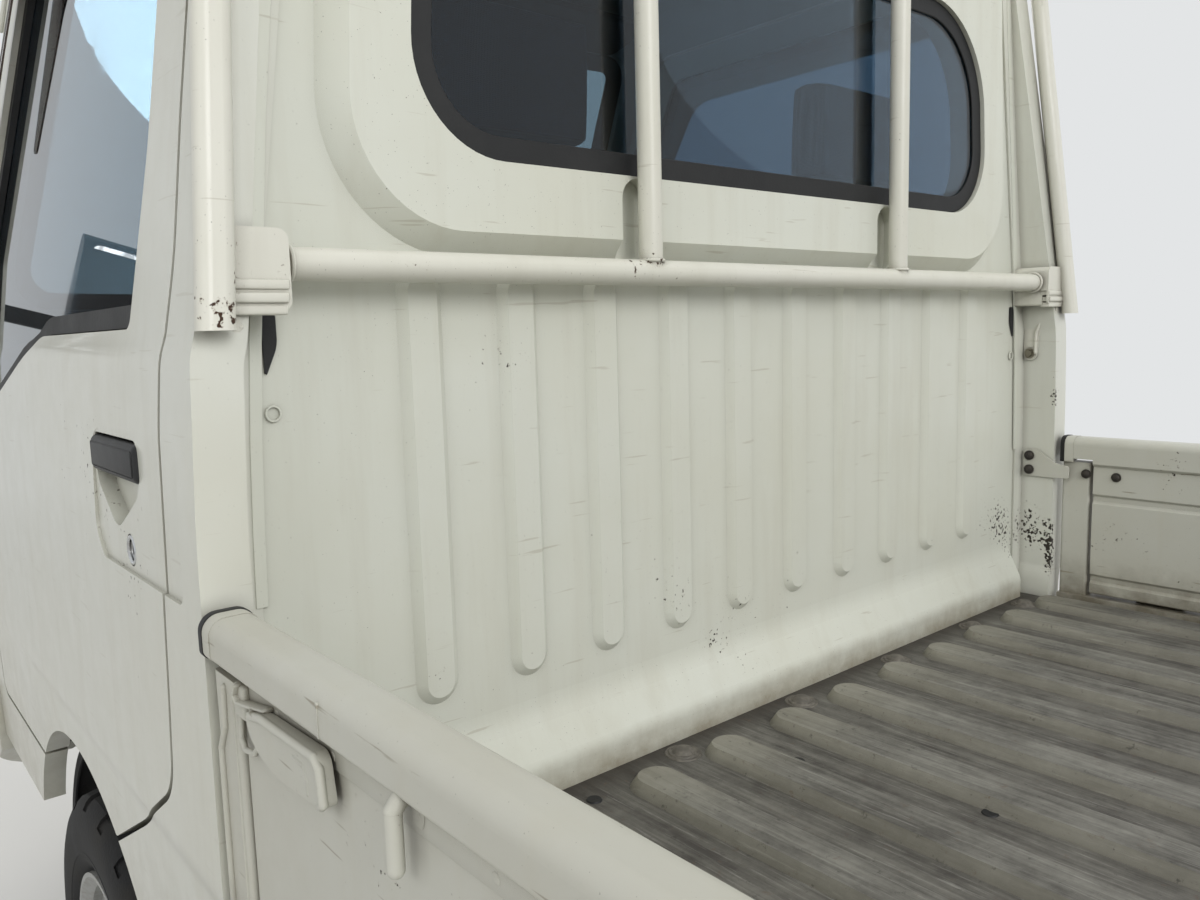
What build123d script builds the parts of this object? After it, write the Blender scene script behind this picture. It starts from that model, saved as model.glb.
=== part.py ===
# Kei truck with a full cab, a drop-side bed and a guard frame behind the cab.
# Millimetres. +X is forward, +Y is left, +Z is up.
# The origin is on the ground, under the middle of the truck.
from build123d import *
import os
from math import radians, tan

os.makedirs("parts", exist_ok=True)

# Whole truck. The overhangs run from the axles to the ends
front_overhang = 907.5
wheelbase = 1885.0
rear_overhang = 602.5
overall_width = 1475.0
front_end_x = (front_overhang + wheelbase + rear_overhang) / 2
rear_end_x = -front_end_x
front_axle_x = front_end_x - front_overhang
rear_axle_x = front_axle_x - wheelbase
half_width = overall_width / 2
seat_gap = 0.3
shut_gap = 6.0
far = 3000.0

# Wheels
wheel_track = 1285.0
wheel_y = wheel_track / 2
tyre_radius = 270.0
tyre_width = 145.0
rim_seat_radius = 152.0
rim_flange_radius = 166.0
rim_half_width = 66.0
hub_face_inset = 20.0
hub_bore_radius = 30.0
arch_radius = 358.0

# Steering
kingpin_y = 520.0
kingpin_radius = 22.0
kingpin_low_z = 215.0
kingpin_high_z = 400.0

# Chassis
rail_inner_y = 300.0
rail_width = 60.0
rail_low_z = 420.0
rail_high_z = 520.0
rail_rear_x = rear_end_x + 97.5
rail_front_x = front_end_x - 137.5
tow_eye_radius = 13.0

# Cab length, from the front end to the back panel, and the corner columns behind the panel
cab_length = 1422.5
column_depth = 58.0
panel_x = front_end_x - cab_length
cab_rear_x = panel_x - column_depth

# Bed
bed_floor_z = 655.0
ridge_height = 12.0
floor_thickness = 18.0
bed_front_x = panel_x - 7
bed_inner_y = 697.0
gate_thickness = 33.5
gate_height = 265.0
gate_seal_space = 16.0
gate_front_x = cab_rear_x - gate_seal_space
gate_rail_reach = 46.0
gate_panel_x = gate_front_x - gate_rail_reach
hinge_radius = 7.0
hinge_drop = 3.0
bed_rail_low_z = 585.0
bed_rail_inner_y = 650.0
bed_cross_width = 70.0
gate_outer_y = half_width - hinge_radius
tailgate_outer_x = rear_end_x + hinge_radius
tailgate_inner_x = tailgate_outer_x + gate_thickness
gate_rear_x = tailgate_inner_x + shut_gap
hinge_z = bed_floor_z
bed_rail_outer_y = gate_outer_y - shut_gap
bed_rail_rear_x = tailgate_outer_x + shut_gap
bed_rail_top_z = hinge_z - hinge_drop
gate_low_z = hinge_z + hinge_drop
floor_base_z = bed_floor_z - ridge_height
floor_low_z = floor_base_z - floor_thickness
floor_half_width = bed_inner_y - shut_gap
floor_rear_x = gate_rear_x + 1.0
floor_side_gap = 10.0

# Stakes that stand on the bed's rails between the cab and the side gates
stake_rear_x = gate_panel_x + shut_gap
stake_front_x = gate_front_x + shut_gap
stake_inner_y = 699.0
stake_thickness = 24.0
stake_top_z = gate_low_z + gate_height - 42

# Cab
cab_half_width = 725.0
wall = 30.0
sheet = 3.0
back_wall = 40.0
column_lean_z = 1131.0
column_lean = 5.2
column_inset = wall + shut_gap + sheet
flange_inset = column_inset + 27
roof_z = 1838.0
roof_seam_z = 1735.0
cowl_z = 1190.0
nose_seam_x = front_end_x - 247.5
nose_low_z = 520.0
sill_low_z = 430.0
nose_x = front_end_x - 16.0
cab_floor_z = 560.0
cab_floor_plate = 40.0
seat_box_z = 740.0
seat_box_x = panel_x + 855
door_front_x = front_end_x - 327.5
door_low_z = 536.0

lean_slope = tan(radians(column_lean))


def face_of(corners, grow=0.0):
    # Face inside a closed outline of (u, v, corner radius), grown or shrunk all round
    with BuildSketch(mode=Mode.PRIVATE) as face:
        with BuildLine():
            FilletPolyline(
                *[(u, v) for u, v, radius in corners],
                radius=[radius for u, v, radius in corners],
                close=True,
            )
        make_face()
        if grow:
            offset(amount=grow, kind=Kind.INTERSECTION, mode=Mode.REPLACE)
    return face.sketch_local


def mirrored(corners):
    # Full outline from its half at positive u, without the points at u = 0 repeated
    other = [(-u, v, radius) for u, v, radius in reversed(corners) if u]
    return tuple(corners) + tuple(other)


def keep(piece, name):
    piece.label = name
    export_step(piece, f"parts/{name}.step")


def keep_both(piece, name):
    # The left piece and its mirror image on the right
    keep(piece, f"{name}_left")
    keep(mirror(piece, about=Plane.XZ), f"{name}_right")


# Cab outline from the side: x, z, radius. The front is left wide for the nose form to cut
def cab_side_outline(rear_x):
    top_rear_x = rear_x + lean_slope * (roof_z - column_lean_z)
    return (
        (rear_x, 200.0, 0),
        (rear_x, column_lean_z, 1500),
        (top_rear_x, roof_z - 18, 90),
        (panel_x + 425, roof_z, 4000),
        (front_end_x - 617, roof_z - 12, 200),
        (front_end_x - 482, roof_seam_z, 0),
        (front_end_x + 100, 930.0, 0),
        (front_end_x + 100, 200.0, 0),
    )


# Cab outline from the front: y, z, radius, for the left half
cab_end_outline = mirrored((
    (cab_half_width - 16, 200.0, 0),
    (cab_half_width - 4, 666.0, 60),
    (cab_half_width + 2, 690.0, 60),
    (cab_half_width, 980.0, 1500),
    (cab_half_width - 6, 1112.0, 80),
    (cab_half_width - 11, 1128.0, 80),
    (cab_half_width - 91, 1700.0, 600),
    (cab_half_width - 119, roof_z - 16, 80),
    (0.0, roof_z + 12, 6000),
))

# Nose in plan: distance behind its front, y, radius, for the left half
nose_plan = (
    (0.0, 180.0, 1200),
    (60.0, 600.0, 250),
    (210.0, cab_half_width + 15, 200),
    (2600.0, cab_half_width + 15, 0),
)

# Nose from the bumper to the roof: low z, high z, front x at each
nose_stages = (
    (200.0, 880.0, nose_x, nose_x - 8),
    (880.0, 1170.0, nose_x - 8, front_end_x - 107),
    (1170.0, 1900.0, front_end_x - 107, front_end_x - 580),
)


def nose_form(inset):
    with BuildPart() as nose:
        for low_z, high_z, low_x, high_x in nose_stages:
            half = [(low_x - back, y, radius) for back, y, radius in nose_plan]
            full = half + [(x, -y, radius) for x, y, radius in reversed(half)]
            with BuildSketch(Plane.XY.offset(low_z)):
                add(face_of(full, -inset))
            slant = Vector(high_x - low_x, 0, high_z - low_z)
            extrude(amount=slant.length, dir=slant.normalized())
    return nose.part


def cab_form(inset, rear_x):
    nose = nose_form(inset)
    with BuildPart() as form:
        with BuildSketch(Plane.XZ):
            add(face_of(cab_side_outline(rear_x), -inset))
        extrude(amount=half_width + 50, both=True)
        with BuildSketch(Plane.YZ):
            add(face_of(cab_end_outline, -inset))
        extrude(amount=far, both=True, mode=Mode.INTERSECT)
        add(nose, mode=Mode.INTERSECT)
    return form.part


open_rear_x = -500.0
with BuildPart() as cab_body:
    add(cab_form(0.0, cab_rear_x))
with BuildPart() as cab_skin:
    add(cab_body.part)
    add(cab_form(wall, open_rear_x), mode=Mode.SUBTRACT)
cab_room = cab_form(wall + seat_gap, open_rear_x)

# Door and its window from the side: x, z, radius
door_outline = (
    (panel_x + 7, 1190.0, 200),
    (panel_x + 14, 1300.0, 500),
    (panel_x + 16, 1716.0, 70),
    (front_end_x - 625, 1716.0, 60),
    (door_front_x, 1256.0, 60),
    (door_front_x, door_low_z, 25),
    (front_axle_x, door_low_z, 0),
    (panel_x + 330, 582.0, 0),
    (panel_x + 190, 658.0, 300),
    (panel_x + 60, 740.0, 60),
    (panel_x + 51, 820.0, 200),
    (panel_x + 28, 1065.0, 100),
)
door_window = (
    (panel_x + 122, 1136.0, 12),
    (panel_x + 98, 1290.0, 200),
    (panel_x + 92, 1668.0, 60),
    (front_end_x - 657, 1668.0, 60),
    (front_end_x - 395, 1265.0, 40),
    (front_end_x - 392, 1000.0, 40),
    (panel_x + 510, 1135.0, 200),
)
handle_panel = (
    (panel_x - 15, 917.0, 12),
    (panel_x - 15, 1048.0, 12),
    (panel_x + 222, 1048.0, 16),
    (panel_x + 252, 1035.0, 16),
    (panel_x + 258, 940.0, 30),
    (panel_x + 232, 917.0, 16),
)
handle_panel_depth = 3.0
handle_pocket = (
    (panel_x + 100, 992.0, 30),
    (panel_x + 96, 1040.0, 10),
    (panel_x + 246, 1040.0, 10),
    (panel_x + 246, 992.0, 20),
    (panel_x + 185, 950.0, 30),
)
handle_pocket_depth = 18.0
lock_x = panel_x + 143
lock_z = 937.0
lock_radius = 15.0
lock_depth = 8.0

# Windscreen from the front: y, z, radius
windscreen_outline = mirrored((
    (640.0, cowl_z, 60),
    (565.0, roof_seam_z, 60),
))

# Roof
with BuildPart() as cab_roof:
    add(cab_skin.part)
    with BuildSketch(Plane.XY.offset(roof_seam_z)):
        Rectangle(far * 2, far)
    extrude(amount=400, mode=Mode.INTERSECT)
keep(cab_roof.part, "cab_roof")

# Nose panel with the lamps' openings
lamp_outline = (
    (430.0, 770.0, 30),
    (430.0, 890.0, 30),
    (600.0, 905.0, 50),
    (690.0, 900.0, 20),
    (690.0, 790.0, 40),
)
with BuildPart() as cab_front:
    add(cab_skin.part)
    with BuildSketch(Plane.XZ):
        with BuildLine():
            Polyline(
                (nose_seam_x, nose_low_z),
                (nose_seam_x, cowl_z),
                (far, cowl_z),
                (far, nose_low_z),
                close=True,
            )
        make_face()
    extrude(amount=far, both=True, mode=Mode.INTERSECT)
    with BuildSketch(Plane.YZ.offset(nose_seam_x)):
        add(face_of(lamp_outline, seat_gap))
        mirror(about=Plane.YZ)
    extrude(amount=far, mode=Mode.SUBTRACT)
keep(cab_front.part, "cab_front")

# Headlamps, flush with the nose
lamp_back = cab_form(wall, open_rear_x)
with BuildPart() as headlamps:
    add(cab_body.part)
    add(lamp_back, mode=Mode.SUBTRACT)
    with BuildSketch(Plane.YZ.offset(nose_seam_x)):
        add(face_of(lamp_outline))
        mirror(about=Plane.YZ)
    extrude(amount=far, mode=Mode.INTERSECT)
keep(headlamps.part, "headlamps")

# Shallow panel round the handle, pressed across the door and the cab's corner
with BuildPart() as handle_dish:
    with BuildSketch(Plane.XZ.offset(handle_panel_depth - cab_half_width)):
        add(face_of(handle_panel))
    extrude(amount=-handle_panel_depth * 4)

# Corner column behind the door: its block, its inner wall and the flange that laps the back panel
column_block_depth = 32.0
flange_x = panel_x - seat_gap
# Outer inset, inner inset, rear x, front x
column_table = (
    (0.0, column_inset, cab_rear_x, cab_rear_x + column_block_depth),
    (wall + shut_gap, column_inset, cab_rear_x, flange_x),
    (wall + shut_gap, flange_inset, flange_x - sheet, flange_x),
)
column_pieces = []
for outer_inset, inner_inset, rear_x, front_x in column_table:
    with BuildPart() as column_piece:
        add(cab_form(outer_inset, cab_rear_x - outer_inset))
        add(cab_form(inner_inset, open_rear_x), mode=Mode.SUBTRACT)
        with BuildSketch(Plane.XZ):
            with BuildLine():
                Polyline(
                    (rear_x, sill_low_z),
                    (rear_x, roof_seam_z),
                    (flange_x, roof_seam_z),
                    (front_x, column_lean_z),
                    (front_x, sill_low_z),
                    close=True,
                )
            make_face()
        extrude(amount=-far, mode=Mode.INTERSECT)
    column_pieces.append(column_piece.part)

# Cab sides: pillars, sill, front wing and rear corner
door_hinge_x = door_front_x + shut_gap
door_hinge_y = cab_half_width
door_hinges = ((640.0, 60.0), (1030.0, 60.0))
with BuildPart() as hinge_pins:
    for low_z, length in door_hinges:
        with BuildSketch(Plane.XY.offset(low_z)):
            with Locations((door_hinge_x, door_hinge_y)):
                Circle(shut_gap - seat_gap)
        extrude(amount=length)
    add(cab_body.part, mode=Mode.INTERSECT)
with BuildPart() as cab_side:
    add(cab_skin.part)
    with BuildSketch(Plane.XZ):
        with BuildLine():
            Polyline(
                (0, sill_low_z),
                (0, roof_seam_z),
                (far, roof_seam_z),
                (far, cowl_z),
                (nose_seam_x, cowl_z),
                (nose_seam_x, sill_low_z),
                close=True,
            )
        make_face()
        add(face_of(door_outline, shut_gap), mode=Mode.SUBTRACT)
        with Locations((front_axle_x, tyre_radius)):
            Circle(arch_radius, mode=Mode.SUBTRACT)
    extrude(amount=-far, mode=Mode.INTERSECT)
    with BuildSketch(Plane.YZ.offset(front_end_x - 697)):
        add(face_of(windscreen_outline))
    extrude(amount=far, mode=Mode.SUBTRACT)
    add(hinge_pins.part)
    for column_part in column_pieces:
        add(column_part)
    add(handle_dish.part, mode=Mode.SUBTRACT)
keep_both(cab_side.part, "cab_side")

# Windscreen, set in its opening
glass_inset = 12.0
glass_thickness = 6.0
with BuildPart() as windscreen:
    add(cab_form(glass_inset, open_rear_x))
    add(cab_form(glass_inset + glass_thickness, open_rear_x), mode=Mode.SUBTRACT)
    with BuildSketch(Plane.YZ.offset(front_end_x - 697)):
        add(face_of(windscreen_outline, -seat_gap))
    extrude(amount=far, mode=Mode.INTERSECT)
keep(windscreen.part, "windscreen")

# Doors, one wall thick, with the window and the handle's pocket
with BuildPart() as door:
    add(cab_skin.part)
    with BuildSketch(Plane.XZ):
        add(face_of(door_outline))
        add(face_of(door_window), mode=Mode.SUBTRACT)
        with Locations((front_axle_x, tyre_radius)):
            Circle(arch_radius, mode=Mode.SUBTRACT)
    extrude(amount=-far, mode=Mode.INTERSECT)
    add(handle_dish.part, mode=Mode.SUBTRACT)
    with BuildSketch(Plane.XZ.offset(handle_pocket_depth - cab_half_width)):
        add(face_of(handle_pocket))
    extrude(amount=-handle_pocket_depth * 2, mode=Mode.SUBTRACT)
    with BuildSketch(Plane.XZ.offset(lock_depth - cab_half_width)):
        with Locations((lock_x, lock_z)):
            Circle(lock_radius)
    extrude(amount=-lock_depth * 2, mode=Mode.SUBTRACT)
keep_both(door.part, "door")

door_glass_inset = 18.0
door_glass_thickness = 4.0
with BuildPart() as door_glass:
    add(cab_form(door_glass_inset, open_rear_x))
    add(cab_form(door_glass_inset + door_glass_thickness, open_rear_x), mode=Mode.SUBTRACT)
    with BuildSketch(Plane.XZ):
        add(face_of(door_window, -seat_gap))
    extrude(amount=-far, mode=Mode.INTERSECT)
keep_both(door_glass.part, "door_glass")

# Cab back: an upright panel with a foot that runs out over the bed floor
foot_top_z = 727.0
foot_top_bend = 60.0
foot_low_z = 677.0
foot_low_bend = 30.0
foot_reach = 25.0
foot_x = panel_x - foot_reach
back_low_z = 560.0
back_plane = Plane(origin=(panel_x, 0, 0), x_dir=(0, -1, 0), z_dir=(-1, 0, 0))
rib_count = 10
rib_pitch = 110.0
rib_width = 47.0
rib_height = 8.0
rib_taper = 47.0
rib_low_z = 768.0
rib_high_z = 1186.0
plateau_height = 20.0
plateau_outline = mirrored((
    (592.0, 1196.0, 130),
    (558.0, 1740.0, 90),
))
rear_window_outline = mirrored((
    (507.0, 1285.0, 95),
    (487.0, 1582.0, 150),
))
guard_upright_y = 234.5
notch_width = 46.0
notch_high_z = 1283.0
with BuildPart() as cab_back:
    with BuildSketch(Plane.XZ):
        with BuildLine():
            Polyline(
                (panel_x, back_low_z),
                (panel_x, roof_z),
                (panel_x + back_wall, roof_z),
                (panel_x + back_wall, back_low_z),
                close=True,
            )
        make_face()
    extrude(amount=half_width, both=True)
    add(cab_form(wall + shut_gap, open_rear_x), mode=Mode.INTERSECT)
    with BuildSketch(Plane.XZ):
        add(face_of((
            (foot_x, floor_base_z + seat_gap, 0),
            (foot_x, foot_low_z, foot_low_bend),
            (panel_x, foot_top_z, foot_top_bend),
            (panel_x, foot_top_z + 30, 0),
            (panel_x + 1, foot_top_z + 30, 0),
            (panel_x + 1, floor_base_z + seat_gap, 0),
        )))
    extrude(amount=cab_half_width - flange_inset - floor_side_gap, both=True)
    with BuildSketch(back_plane):
        with Locations((0, (rib_low_z + rib_high_z) / 2)):
            with GridLocations(rib_pitch, 0, rib_count, 1):
                SlotOverall(rib_high_z - rib_low_z, rib_width, rotation=90)
    extrude(amount=rib_height, taper=rib_taper)
    with BuildSketch(back_plane):
        add(face_of(plateau_outline))
    extrude(amount=plateau_height, taper=48)
    with BuildSketch(back_plane):
        for side in (-1, 1):
            with Locations((side * guard_upright_y, (rib_high_z + notch_high_z) / 2)):
                SlotOverall(notch_high_z - rib_high_z, notch_width, rotation=90)
    extrude(amount=plateau_height, mode=Mode.SUBTRACT)
    with BuildSketch(back_plane):
        add(face_of(rear_window_outline))
    extrude(amount=back_wall * 2, both=True, mode=Mode.SUBTRACT)
    add(cab_room, mode=Mode.INTERSECT)
keep(cab_back.part, "cab_back")

rear_glass_thickness = 5.0
rear_glass_proud = 11.0
with BuildPart() as rear_window:
    with BuildSketch(back_plane.offset(rear_glass_proud)):
        add(face_of(rear_window_outline, -seat_gap))
    extrude(amount=-rear_glass_thickness)
keep(rear_window.part, "rear_window")

# Cab floor: flat well in front, seat box over the front wheels behind
floor_side_y = cab_half_width - wall - shut_gap
with BuildPart() as cab_floor:
    with BuildSketch(Plane.XZ):
        with BuildLine():
            Polyline(
                (far, cab_floor_z - cab_floor_plate),
                (far, cab_floor_z),
                (seat_box_x, cab_floor_z),
                (seat_box_x, seat_box_z),
                (panel_x + back_wall + seat_gap, seat_box_z),
                (panel_x + back_wall + seat_gap, seat_box_z - cab_floor_plate),
                (seat_box_x - cab_floor_plate, seat_box_z - cab_floor_plate),
                (seat_box_x - cab_floor_plate, cab_floor_z - cab_floor_plate),
                close=True,
            )
        make_face()
    extrude(amount=floor_side_y, both=True)
    add(cab_room, mode=Mode.INTERSECT)
keep(cab_floor.part, "cab_floor")

# Dashboard with the fixed steering column, on the right
steer_y = -330.0
wheel_hub = Vector(front_end_x - 432.5, steer_y, 1085.0)
column_axis = Vector(-0.62, 0, 0.785).normalized()
column_radius = 28.0
column_length = 420.0
wheel_plane = Plane(origin=wheel_hub, z_dir=column_axis)
hub_drop = 45.0
with BuildPart() as dashboard:
    with BuildSketch(Plane.XZ):
        add(face_of((
            (front_end_x - 257, 860.0, 25),
            (front_end_x - 297, 1000.0, 40),
            (front_end_x - 257, 1120.0, 50),
            (front_end_x - 137, 1150.0, 20),
            (front_end_x, 1100.0, 0),
            (front_end_x, 860.0, 0),
        )))
    extrude(amount=floor_side_y - 8, both=True)
    with BuildSketch(wheel_plane.offset(-hub_drop - seat_gap)):
        Circle(column_radius)
    extrude(amount=-column_length)
    add(cab_room, mode=Mode.INTERSECT)
keep(dashboard.part, "dashboard")

# Steering wheel: rim, hub and three spokes
wheel_rim_radius = 180.0
wheel_rim_tube = 13.0
with BuildPart() as steering_wheel:
    with BuildSketch(wheel_plane.offset(-hub_drop)):
        Circle(column_radius - 8)
    extrude(amount=hub_drop)
    with BuildSketch(wheel_plane.offset(-18)):
        Circle(52)
    extrude(amount=30)
    with BuildSketch(wheel_plane.offset(-6)):
        for turn in (90, 210, 330):
            with PolarLocations(wheel_rim_radius / 2, 1, start_angle=turn):
                Rectangle(wheel_rim_radius, 34)
    extrude(amount=12)
    with BuildSketch(Plane(origin=wheel_hub, x_dir=wheel_plane.x_dir, z_dir=wheel_plane.y_dir)):
        with Locations((wheel_rim_radius, 0)):
            Circle(wheel_rim_tube)
    revolve(axis=Axis(wheel_hub, column_axis))
keep(steering_wheel.part, "steering_wheel")

# Seats on the seat box: distance ahead of the panel, z, radius
seat_y = 330.0
seat_width = 480.0
backrest_outline = (
    (225.0, seat_box_z + seat_gap, 10),
    (225.0, 850.0, 10),
    (155.0, 1290.0, 40),
    (75.0, 1290.0, 30),
    (125.0, 870.0, 10),
    (125.0, seat_box_z + seat_gap, 10),
)
cushion_outline = (
    (165.0, seat_box_z + seat_gap, 10),
    (165.0, 850.0, 10),
    (685.0, 885.0, 40),
    (705.0, seat_box_z + seat_gap, 20),
)
headrest_outline = (
    (150.0, 1325.0, 20),
    (140.0, 1480.0, 30),
    (70.0, 1480.0, 30),
    (63.0, 1325.0, 20),
)
headrest_half_width = 130.0
headrest_rod_x = panel_x + 110
with BuildPart() as seat:
    with BuildSketch(Plane.XZ.offset(-seat_y)):
        add(face_of([(panel_x + u, v, r) for u, v, r in backrest_outline]))
        add(face_of([(panel_x + u, v, r) for u, v, r in cushion_outline]))
    extrude(amount=seat_width / 2, both=True)
    with BuildSketch(Plane.XZ.offset(-seat_y)):
        add(face_of([(panel_x + u, v, r) for u, v, r in headrest_outline]))
    extrude(amount=headrest_half_width, both=True)
    with BuildSketch(Plane.XY.offset(1270)):
        with Locations((headrest_rod_x, seat_y - 60), (headrest_rod_x, seat_y + 60)):
            Circle(7)
    extrude(amount=80)
keep_both(seat.part, "seat")

# Front bumper below the nose
bumper_low_z = 330.0
bumper_depth = 60.0


def bumper_plan(front_x):
    half = [(front_x - back, y, radius) for back, y, radius in nose_plan]
    return half + [(x, -y, radius) for x, y, radius in reversed(half)]


with BuildPart() as front_bumper:
    with BuildSketch(Plane.XY.offset(bumper_low_z)):
        add(face_of(bumper_plan(front_end_x), 0))
        add(face_of(bumper_plan(front_end_x), -bumper_depth), mode=Mode.SUBTRACT)
    extrude(amount=nose_low_z - seat_gap - bumper_low_z)
    with BuildSketch(Plane.XZ):
        with BuildLine():
            Polyline(
                (nose_seam_x + seat_gap, sill_low_z - 30),
                (nose_seam_x + seat_gap, far),
                (far, far),
                (far, 0),
                (nose_seam_x + 100, bumper_low_z),
                close=True,
            )
        make_face()
    extrude(amount=cab_half_width, both=True, mode=Mode.INTERSECT)
keep(front_bumper.part, "front_bumper")

# Mirrors on the doors' front corners
with BuildPart() as mirror_arm:
    with BuildSketch(Plane.XZ.offset(-(cab_half_width + 70))):
        add(face_of((
            (door_front_x - 80, 1170.0, 25),
            (door_front_x - 70, 1350.0, 30),
            (door_front_x - 40, 1350.0, 12),
            (door_front_x - 35, 1170.0, 12),
        )))
    extrude(amount=-115)
    with BuildSketch(Plane.XZ.offset(wall - cab_half_width)):
        with Locations((door_front_x - 52, 1185)):
            Rectangle(26, 26)
    extrude(amount=-(wall + 76))
    add(cab_body.part, mode=Mode.SUBTRACT)
keep_both(mirror_arm.part, "mirror")

# Chassis frame: two rails and the cross tubes between them
cross_positions = (
    rail_rear_x + 30,
    rear_axle_x + 295,
    rear_axle_x + 795,
    panel_x - 25,
    front_axle_x + 390,
    rail_front_x - 30,
)
tow_eye_x = rail_front_x - 30
tow_eye_z = 305.0
tow_plate_width = 60.0
tow_plate_thickness = 12.0
with BuildPart() as chassis_frame:
    with BuildSketch(Plane.YZ.offset(rail_rear_x)):
        for side in (-1, 1):
            with Locations((side * (rail_inner_y + rail_width / 2), (rail_low_z + rail_high_z) / 2)):
                Rectangle(rail_width, rail_high_z - rail_low_z)
    extrude(amount=rail_front_x - rail_rear_x)
    with BuildSketch(Plane.XZ):
        with Locations(*[(x, (rail_low_z + rail_high_z) / 2) for x in cross_positions]):
            Rectangle(50, 60)
    extrude(amount=rail_inner_y, both=True)
    for side in (-1, 1):
        with BuildSketch(Plane.XZ.offset(side * rail_inner_y)):
            with Locations((tow_eye_x, (tow_eye_z - 25 + rail_low_z) / 2)):
                RectangleRounded(tow_plate_width, rail_low_z - tow_eye_z + 25, 20)
            with Locations((tow_eye_x, rail_low_z)):
                Rectangle(tow_plate_width, 60)
            with Locations((tow_eye_x, tow_eye_z)):
                Circle(tow_eye_radius, mode=Mode.SUBTRACT)
        extrude(amount=side * tow_plate_thickness)
keep(chassis_frame.part, "chassis_frame")

# Bed frame: cross members, side rails and rear rail with the hinge barrels
bed_cross_positions = (
    panel_x - 60,
    panel_x - 455,
    rear_axle_x + 495,
    rear_end_x + 247.5,
    rear_end_x + 57.5,
)
side_hinge_positions = (
    gate_panel_x - 100,
    (gate_panel_x + gate_rear_x) / 2,
    gate_rear_x + 150,
)
rear_hinge_positions = (-560.0, 0.0, 560.0)
hinge_length = 70.0
with BuildPart() as bed_frame:
    with BuildSketch(Plane.XZ):
        for x in bed_cross_positions:
            with Locations((x, (rail_high_z + floor_low_z) / 2)):
                Rectangle(bed_cross_width, floor_low_z - rail_high_z)
    extrude(amount=rail_inner_y + rail_width, both=True)
    with BuildSketch(Plane.XZ):
        for x in bed_cross_positions:
            with Locations((x, (bed_rail_low_z + floor_low_z) / 2)):
                Rectangle(bed_cross_width, floor_low_z - bed_rail_low_z)
    extrude(amount=bed_rail_inner_y + 10, both=True)
    with BuildSketch(Plane.YZ.offset(bed_rail_rear_x)):
        with BuildLine():
            Polyline(
                (bed_rail_inner_y, bed_rail_low_z),
                (bed_rail_outer_y, bed_rail_low_z),
                (bed_rail_outer_y, bed_rail_top_z),
                (floor_half_width + 1, bed_rail_top_z),
                (floor_half_width + 1, floor_low_z),
                (bed_rail_inner_y, floor_low_z),
                close=True,
            )
        make_face()
        mirror(about=Plane.YZ)
    extrude(amount=stake_front_x - bed_rail_rear_x)
    with BuildSketch(Plane.XY.offset(bed_rail_top_z - 1)):
        for side in (-1, 1):
            with Locations(((stake_rear_x + stake_front_x) / 2, side * (stake_inner_y + stake_thickness / 2))):
                RectangleRounded(stake_front_x - stake_rear_x, stake_thickness, 5)
    extrude(amount=stake_top_z - bed_rail_top_z + 1)
    with BuildSketch(Plane.XZ):
        with BuildLine():
            Polyline(
                (bed_rail_rear_x, bed_rail_low_z),
                (bed_rail_rear_x, bed_rail_top_z),
                (floor_rear_x - 1, bed_rail_top_z),
                (floor_rear_x - 1, floor_low_z),
                (floor_rear_x + 40, floor_low_z),
                (floor_rear_x + 40, bed_rail_low_z),
                close=True,
            )
        make_face()
    extrude(amount=bed_rail_outer_y, both=True)
    for x in side_hinge_positions:
        with BuildSketch(Plane.YZ.offset(x - hinge_length / 2)):
            with Locations((-gate_outer_y, hinge_z), (gate_outer_y, hinge_z)):
                Circle(hinge_radius)
        extrude(amount=hinge_length)
    for y in rear_hinge_positions:
        with BuildSketch(Plane.XZ.offset(y - hinge_length / 2)):
            with Locations((tailgate_outer_x, hinge_z)):
                Circle(hinge_radius)
        extrude(amount=hinge_length)
keep(bed_frame.part, "bed_frame")

# Bed floor with its pressed ridges
floor_front_half_width = cab_half_width - column_inset - floor_side_gap
ridge_pitch = 115.0
ridge_count = 12
ridge_width = 61.0
ridge_front_x = panel_x - 58
ridge_rear_x = gate_rear_x + 60
with BuildPart() as bed_floor:
    with BuildSketch(Plane.XY.offset(floor_low_z)):
        with BuildLine():
            Polyline(
                (floor_rear_x, -floor_half_width),
                (stake_front_x, -floor_half_width),
                (stake_front_x, -floor_front_half_width),
                (bed_front_x, -floor_front_half_width),
                (bed_front_x, floor_front_half_width),
                (stake_front_x, floor_front_half_width),
                (stake_front_x, floor_half_width),
                (floor_rear_x, floor_half_width),
                close=True,
            )
        make_face()
    extrude(amount=floor_thickness)
    with BuildSketch(Plane.XY.offset(floor_base_z)):
        with Locations(((ridge_front_x + ridge_rear_x) / 2, 0)):
            with GridLocations(0, ridge_pitch, 1, ridge_count):
                SlotOverall(ridge_front_x - ridge_rear_x, ridge_width)
    extrude(amount=ridge_height, taper=35)
keep(bed_floor.part, "bed_floor")

# Gate section with its top rail and beads. From the end: distance inside the outer face, height, radius
rail_bulge = 5.0
tailgate_bulge = 1.0
gate_recess = 11.0
bead_depth = 4.0


def gate_section(bulge):
    inner = gate_thickness
    return (
        (inner, 0.0, 3),
        (inner, 18.0, 2),
        (inner - bead_depth, 22.0, 2),
        (inner - bead_depth, 30.0, 2),
        (inner, 34.0, 2),
        (inner, 155.0, 2),
        (inner - bead_depth, 159.0, 2),
        (inner - bead_depth, 167.0, 2),
        (inner, 171.0, 2),
        (inner, gate_height - 48, 3),
        (inner + bulge, gate_height - 43, 2),
        (inner + bulge, gate_height, 13),
        (0.0, gate_height, 12),
        (0.0, gate_height - 29, 4),
        (gate_recess, gate_height - 36, 4),
        (gate_recess, 48.0, 4),
        (0.0, 40.0, 4),
        (0.0, 0.0, 3),
    )


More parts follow.
